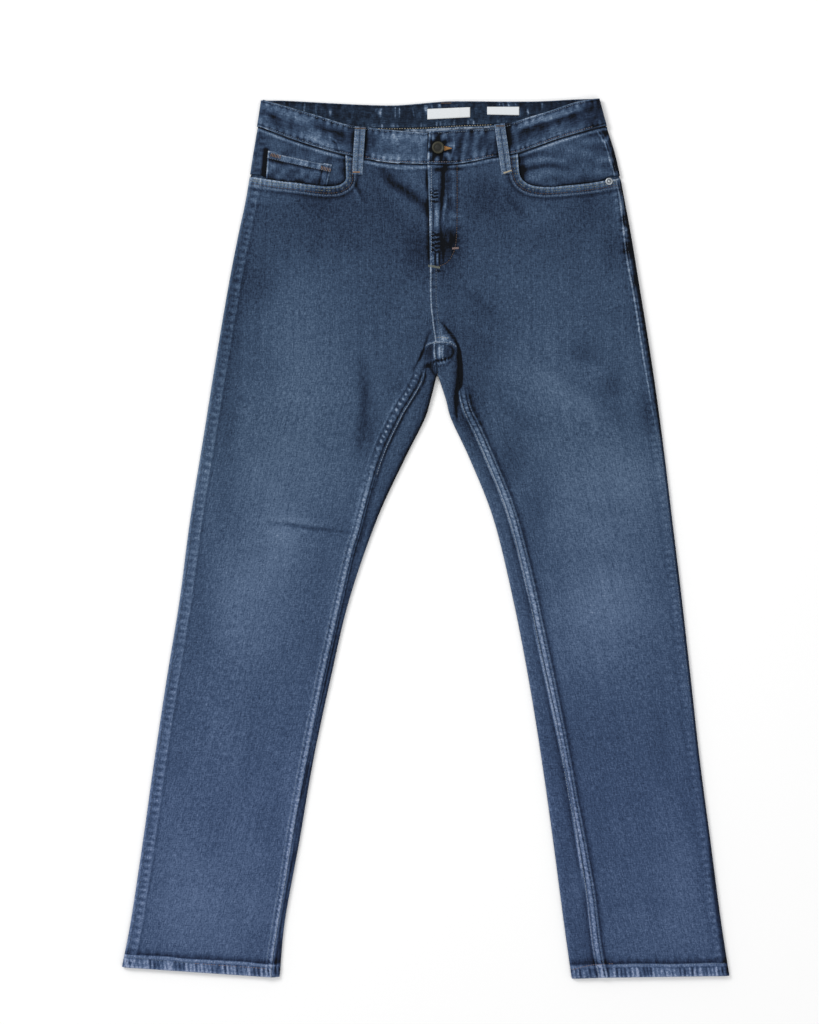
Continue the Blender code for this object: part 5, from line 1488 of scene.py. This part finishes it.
def stitch_row(kind, curve, pitch=3.2, share=0.72, radius=0.42, skip=0.0, seed=1):
    """A row of stitches along a curve in plan; skip is the share that is worn away or hidden."""
    curve = np.asarray(curve, float)
    total = np.linalg.norm(np.diff(curve, axis=0), axis=1).sum()
    count = max(int(total / pitch), 1)
    random = np.random.default_rng(seed)
    at = (np.arange(count) + 0.14 + 0.06 * random.uniform(-1, 1, count)) / count
    keep = random.uniform(0, 1, count) >= skip
    starts, ends = pick(curve, at), pick(curve, np.minimum(at + share / count, 1.0))
    add_stitches(kind, starts[keep], ends[keep], radius)


def bartack(kind, start, end, width=2.2, pitch=0.75, radius=0.42):
    """A dense bar of stitches laid across the line from start to end."""
    start, end = np.asarray(start, float), np.asarray(end, float)
    length = np.linalg.norm(end - start)
    along = (end - start) / length
    square = np.array([-along[1], along[0]]) * width / 2
    count = max(int(length / pitch), 2)
    at = start + (end - start) * (np.arange(count) / (count - 1))[:, None]
    add_stitches(kind, at - square, at + square, radius, 0.0)


# Rows along a pocket's mouth: distance in mm, thread, and the share that is worn away
MOUTH_ROWS = ((2.2, "olive", 0.3), (4.8, "olive", 0.5), (7.9, "brown", 0.1), (10.6, "tonal", 0))
# Rows and bars of stitches that no seam gives, in photograph pixels
COIN_BARS = [[(271.5, 155.4), (280.5, 157.8)], [(321.5, 168.4), (330.5, 171)]]
HEM_ROWS = [("tonal", [(125.8, 955.7), (160, 959.6), (194.8, 962.4)]),
            ("rose", [(194.8, 962.4), (230, 965), (266, 967.6)]),
            ("rose", [(571.8, 969), (585, 965.4), (597, 963.6), (613, 963)]),
            ("tonal", [(613, 963.6), (670, 963.4), (724.5, 962.4)])]
FLY_BAR, LAP_BAR = [(452.4, 249.3), (458.2, 248.7)], [(428.6, 266.4), (439.5, 268.4)]
CROSS_SEAM_ROWS = [[(x, 346), (x + 0.6, 353), (x + 2, 360)] for x in (434, 441)]
CROSS_SEAM_ARCH = [(425.6, 346), (434, 343), (448, 343), (456.6, 347)]
WORN_ARCH = [(435, 338.4), (441, 337.6), (449, 338.8)]
LOOP_BARS = [("orange", [(353.5, 173.2), (359.8, 173.2)]), ("beige", [(503.5, 174.2), (511, 171.6)]),
             ("brown", [(355.5, 129.6), (365.5, 129.6)]), ("brown", [(496, 127.2), (504, 127.2)])]
MOUTH_BAR, CENTRE_LOOP_BAR = [(250, 181), (258, 182)], [(441, 103.6), (451, 103.6)]
INNER_BAND_ROW = [(378, 129.5), (400, 129.2), (426, 128.6), (458, 126.6), (492, 125.4)]
HOLE_TAIL = (444.4, 149.5)


def sew():
    """All the stitching that the photograph shows, dropped on the cloth."""
    # inseams: rows with their thread, distance from the seam, and the y where they begin and end
    for side, name in SIDE_NAMES.items():
        line = LINES["inseam_" + name][::2]
        line = line[line[:, 1] < FELLED_TOP[side] - 10]
        moved = ridge_shift(line[:, 1], side)[:, None]
        rows = [("tonal", 11.8, -600, 0), ("pale", 5.5, -600, 0), ("pale", -0.7, 70, 300)]
        if side > 0:
            rows = [("tonal", 8.8, -600, 300), ("pale", 0.4, -600, 300)]
        for kind, at, bottom, top in rows:
            part = (line[:, 1] > bottom) & (line[:, 1] < top)
            beside = shift_sideways(line, -side * (at - moved))
            stitch_row(kind, beside[part], 3.4, radius=0.34, skip=0.1, seed=3)
    # outseams: the left one's two rows run in from the side towards the waist
    outer = OUTER_PATH[:12]
    lower = LINES["outseam_left"][::2]
    stitch_row("tonal", smooth_curve(outer[2:], 90), 3.4, radius=0.36, seed=4)
    stitch_row("navy", shift_sideways(smooth_curve(outer[2:], 90), 3.0), 3.4, radius=0.32, skip=0.3, seed=5)
    lower = lower[(lower[:, 1] > -250) & (lower[:, 1] < 160)]
    stitch_row("tonal", shift_sideways(lower, 3.4), 3.4, radius=0.32, skip=0.3, seed=6)
    upper = LINES["outseam_right"][::2]
    stitch_row("navy", shift_sideways(upper, -4.0), 3.4, radius=0.32, skip=0.4, seed=7)
    # pocket mouths
    for side, name in SIDE_NAMES.items():
        line = LINES["mouth_" + name]
        for amount, kind, skip in MOUTH_ROWS:
            stitch_row(kind, shift_sideways(line[2:-2], side * amount), 3.2, radius=0.36, skip=skip,
                       seed=8 + int(amount))
    # coin pocket's top band and the bars at its ends
    corners = np.array(COIN_CORNERS, float)
    edge = corners[1] - corners[0]
    down = np.array([edge[1], -edge[0]]) / np.linalg.norm(edge)
    for amount in (2.2, 8.6):
        stitch_row("tonal", corners[:2] + down * amount, 3.0, radius=0.36)
    for ends in COIN_BARS:
        bartack("orange", *from_photo(ends), width=5.2, pitch=1.5, radius=0.34)
    # hems: reddish thread in places, faded elsewhere
    for kind, pixels in HEM_ROWS:
        stitch_row(kind, smooth_curve(from_photo(pixels), 40), 3.2, radius=0.32, skip=0.1, seed=9)
    # both edges of the front waistband, and the worn row over its seam
    for share, seed in ((0.065, 10), (0.935, 11)):
        line = BAND[:, 0] + (BAND[:, 1] - BAND[:, 0]) * share
        front = line[line[:, 2] > 5.0]
        for part in (front[front[:, 0] > 0][:, :2], front[front[:, 0] < 1][:, :2]):
            part = part[np.argsort(part[:, 0])]
            part = part[(part[:, 0] > -200) & (part[:, 0] < 210)]
            stitch_row("tonal", part, 3.0, radius=0.36, skip=0.1, seed=seed)
            if share < 0.5:
                stitch_row("rose", part[part[:, 0] > -112], 3.0, share=0.5, radius=0.38, skip=0.3, seed=seed)
    # fly: its free edge, the curved row, and the bars that hold it
    stitch_row("pale", shift_sideways(LAP_LINE, 1.6), 3.0, radius=0.36, skip=0.1, seed=12)
    curve = smooth_curve(J_STITCH, 80)
    stitch_row("brown", curve, 3.0, radius=0.42, seed=13)
    bartack("rose", *from_photo(FLY_BAR), width=2.8)
    bartack("olive", *from_photo(LAP_BAR), width=3.2, pitch=1.0)
    # front rise, and the rows about the crotch's cross seam
    stitch_row("pale", shift_sideways(LINES["rise"], -1.3), 3.2, radius=0.4, seed=15)
    stitch_row("tonal", shift_sideways(LINES["rise"], -7.4), 3.2, radius=0.36, seed=16)
    for pixels in CROSS_SEAM_ROWS:
        stitch_row("pale", from_photo(pixels), 2.6, radius=0.38)
    stitch_row("pale", smooth_curve(from_photo(CROSS_SEAM_ARCH), 20), 2.8, radius=0.4)
    stitch_row("beige", smooth_curve(from_photo(WORN_ARCH), 20), 2.6, share=0.5, radius=0.34, seed=20)
    # belt loops
    for line in FRONT_LOOPS.values():
        line = smooth_curve(line, 40)
        for amount, kind in ((-4.9, "pale"), (-1.0, "tonal"), (1.0, "tonal"), (4.9, "pale")):
            stitch_row(kind, shift_sideways(line, amount)[1:-1], 3.0, radius=0.32, seed=17)
        for amount in (-2.8, 2.8):
            stitch_row("olive", shift_sideways(line, amount)[1:-1], 3.0, radius=0.26, skip=0.5, seed=19)
    for kind, ends in LOOP_BARS:
        bartack(kind, *from_photo(ends), width=2.2)
    # the bar at the side end of the right pocket's mouth
    bartack("tonal", *from_photo(MOUTH_BAR), width=2.4)
    # the row inside the back waistband, and the centre loop's brown bar
    stitch_row("beige", smooth_curve(from_photo(INNER_BAND_ROW), 60), 3.2, share=0.6, radius=0.4, seed=18)
    bartack("brown", *from_photo(CENTRE_LOOP_BAR), width=1.6)
    # buttonhole's tail narrows away from the button
    for k in range(9):
        at = from_photo([(HOLE_TAIL[0] + 0.85 * k, HOLE_TAIL[1])])[0]
        half = np.array([0, 3.3 - 0.33 * k])
        add_stitches("buttonhole", [at - half], [at + half], 0.42, 0.0)


def thread_objects():
    """One object for each kind of thread."""
    for kind, (vertices, faces) in THREAD_MESHES.items():
        if faces:
            obj = mesh_object("thread_" + kind, vertices, faces, THREADS[kind])
            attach(obj, "root")


sew()
thread_objects()


# --- Hardware ------------------------------------------------------------------------------------
def turned(name, centre, base, profile, count, material, node_name=None, ripple=0.0):
    """A body turned about an upright axis, from (radius, height) rows; ripple wobbles the outline."""
    profile = np.array(profile, float)
    dense = pick(profile, np.linspace(0, 1, 3 * len(profile)))
    rings = dense[dense[:, 0] > 0.05]
    angle = np.linspace(0, 2 * np.pi, count, endpoint=False)
    radius = rings[:, 0][:, None] * (1 + ripple * np.sin(16 * angle)[None, :])
    x = centre[0] + radius * np.cos(angle)
    y = centre[1] + radius * np.sin(angle)
    z = base + rings[:, 1][:, None] + 0 * x
    vertices = np.stack([x, y, z], axis=-1).reshape(-1, 3).tolist()
    vertices += [(*centre, base + profile[0, 1]), (*centre, base + profile[-1, 1])]
    faces = []
    n = len(rings)
    for k in range(count):
        after = (k + 1) % count
        faces.append((n * count, after, k))
        faces.append((n * count + 1, (n - 1) * count + k, (n - 1) * count + after))
        for r in range(n - 1):
            faces.append((r * count + k, r * count + after, (r + 1) * count + after, (r + 1) * count + k))
    obj = mesh_object(name, vertices, faces, material)
    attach(obj, "root")
    if node_name:
        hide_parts(node_name)
    return obj


BAND_TOP = BAND_FRONT_HEIGHT + BAND_LAP_RAISE + BAND_THICK / 2 + CLEAR
BUTTON_PROFILE = [(0, 0), (3.2, 0), (3.2, 0.9), (7.0, 1.1), (7.6, 1.7), (7.3, 2.5), (6.4, 2.9), (5.2, 2.6),
                  (4.6, 2.1), (3.4, 2.0), (3.0, 2.5), (2.2, 2.7), (0, 2.8)]
RIVET_PROFILE = [(0, 0), (4.4, 0), (4.6, 0.4), (4.0, 0.9), (2.6, 1.0), (2.0, 0.6), (1.6, 0.5), (1.3, 0.9),
                 (0, 1.1)]
button = turned("button_brass", BUTTON_AT, BAND_TOP, BUTTON_PROFILE, 96, BRASS, "button", 0.006)
rivet = turned("rivet_steel", RIVET_AT, RIVET_BASE, RIVET_PROFILE, 64, STEEL, "rivet")


def darken(obj, centre, inner, outer, material):
    """Gives another material to the faces between two distances from a turned body's axis."""
    obj.data.materials.append(material)
    for polygon in obj.data.polygons:
        away = math.hypot(polygon.center.x / MM + PLAN_CENTRE[0] - centre[0],
                          polygon.center.y / MM + PLAN_CENTRE[1] - centre[1])
        if inner < away < outer:
            polygon.material_index = 1


darken(button, BUTTON_AT, -1.0, 5.0, BRASS_DARK)
darken(rivet, RIVET_AT, 1.3, 2.8, STEEL_DARK)

# --- Solids that are shown as they are, under the seat and behind the fly ------------------------
for node_name in ("yoke_right", "yoke_left", "back_pocket_right", "back_pocket_left", "loop_back_right",
                  "loop_back_centre", "loop_back_left", "zip"):
    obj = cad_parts[node_name]
    for place in obj.material_slots:
        place.material = ZIP_TAPE if node_name == "zip" else DENIM_UNDER


# --- Floor, camera and light ---------------------------------------------------------------------
FLOOR_HALF, FLOOR_LEVEL = 6, -0.0004
FLOOR_CORNERS = [(x * FLOOR_HALF, y * FLOOR_HALF, FLOOR_LEVEL)
                 for x, y in ((-1, -1), (1, -1), (1, 1), (-1, 1))]

floor = bpy.data.objects.new("floor", bpy.data.meshes.new("floor"))
floor.data.from_pydata(FLOOR_CORNERS, [], [(0, 1, 2, 3)])
floor.data.materials.append(plain("white_paper", "F4F4F4", 0.9))
bpy.context.collection.objects.link(floor)

for obj, (wide, long, area) in SHEETS:
    print(f"sheet {obj.name} {wide * 1000:.0f} x {long * 1000:.0f} mm, {area:.4f} m2")

LENS, SENSOR = 85.0, 36.0
HALF_VIEW, VIEW_CENTRE = 0.6323, (-0.0200, 0.0329)      # metres, on the surface under the jeans

camera = bpy.data.objects.new("camera", bpy.data.cameras.new("camera"))
camera.data.lens, camera.data.sensor_width = LENS, SENSOR
camera.data.clip_end = 20.0
camera.location = (*VIEW_CENTRE, HALF_VIEW * LENS / (SENSOR / 2))
bpy.context.collection.objects.link(camera)
bpy.context.scene.camera = camera


def area_light(name, location, target, size, power):
    """A square lamp that faces its target."""
    data = bpy.data.lights.new(name, "AREA")
    data.shape, data.size, data.energy = "SQUARE", size, power
    obj = bpy.data.objects.new(name, data)
    obj.location = location
    obj.rotation_euler = (Vector(target) - Vector(location)).to_track_quat("-Z", "Y").to_euler()
    bpy.context.collection.objects.link(obj)


area_light("key", (-2.2, 1.9, 2.4), (0, 0, 0), 1.4, 80)
area_light("fill", (1.6, -1.2, 3.2), (0, 0, 0), 2.5, 25)
world = bpy.data.worlds.new("studio")
world.use_nodes = True
world.node_tree.nodes["Background"].inputs["Color"].default_value = (1, 1, 1, 1)
world.node_tree.nodes["Background"].inputs["Strength"].default_value = 0.68
bpy.context.scene.world = world
bpy.context.scene.view_settings.view_transform = "Standard"
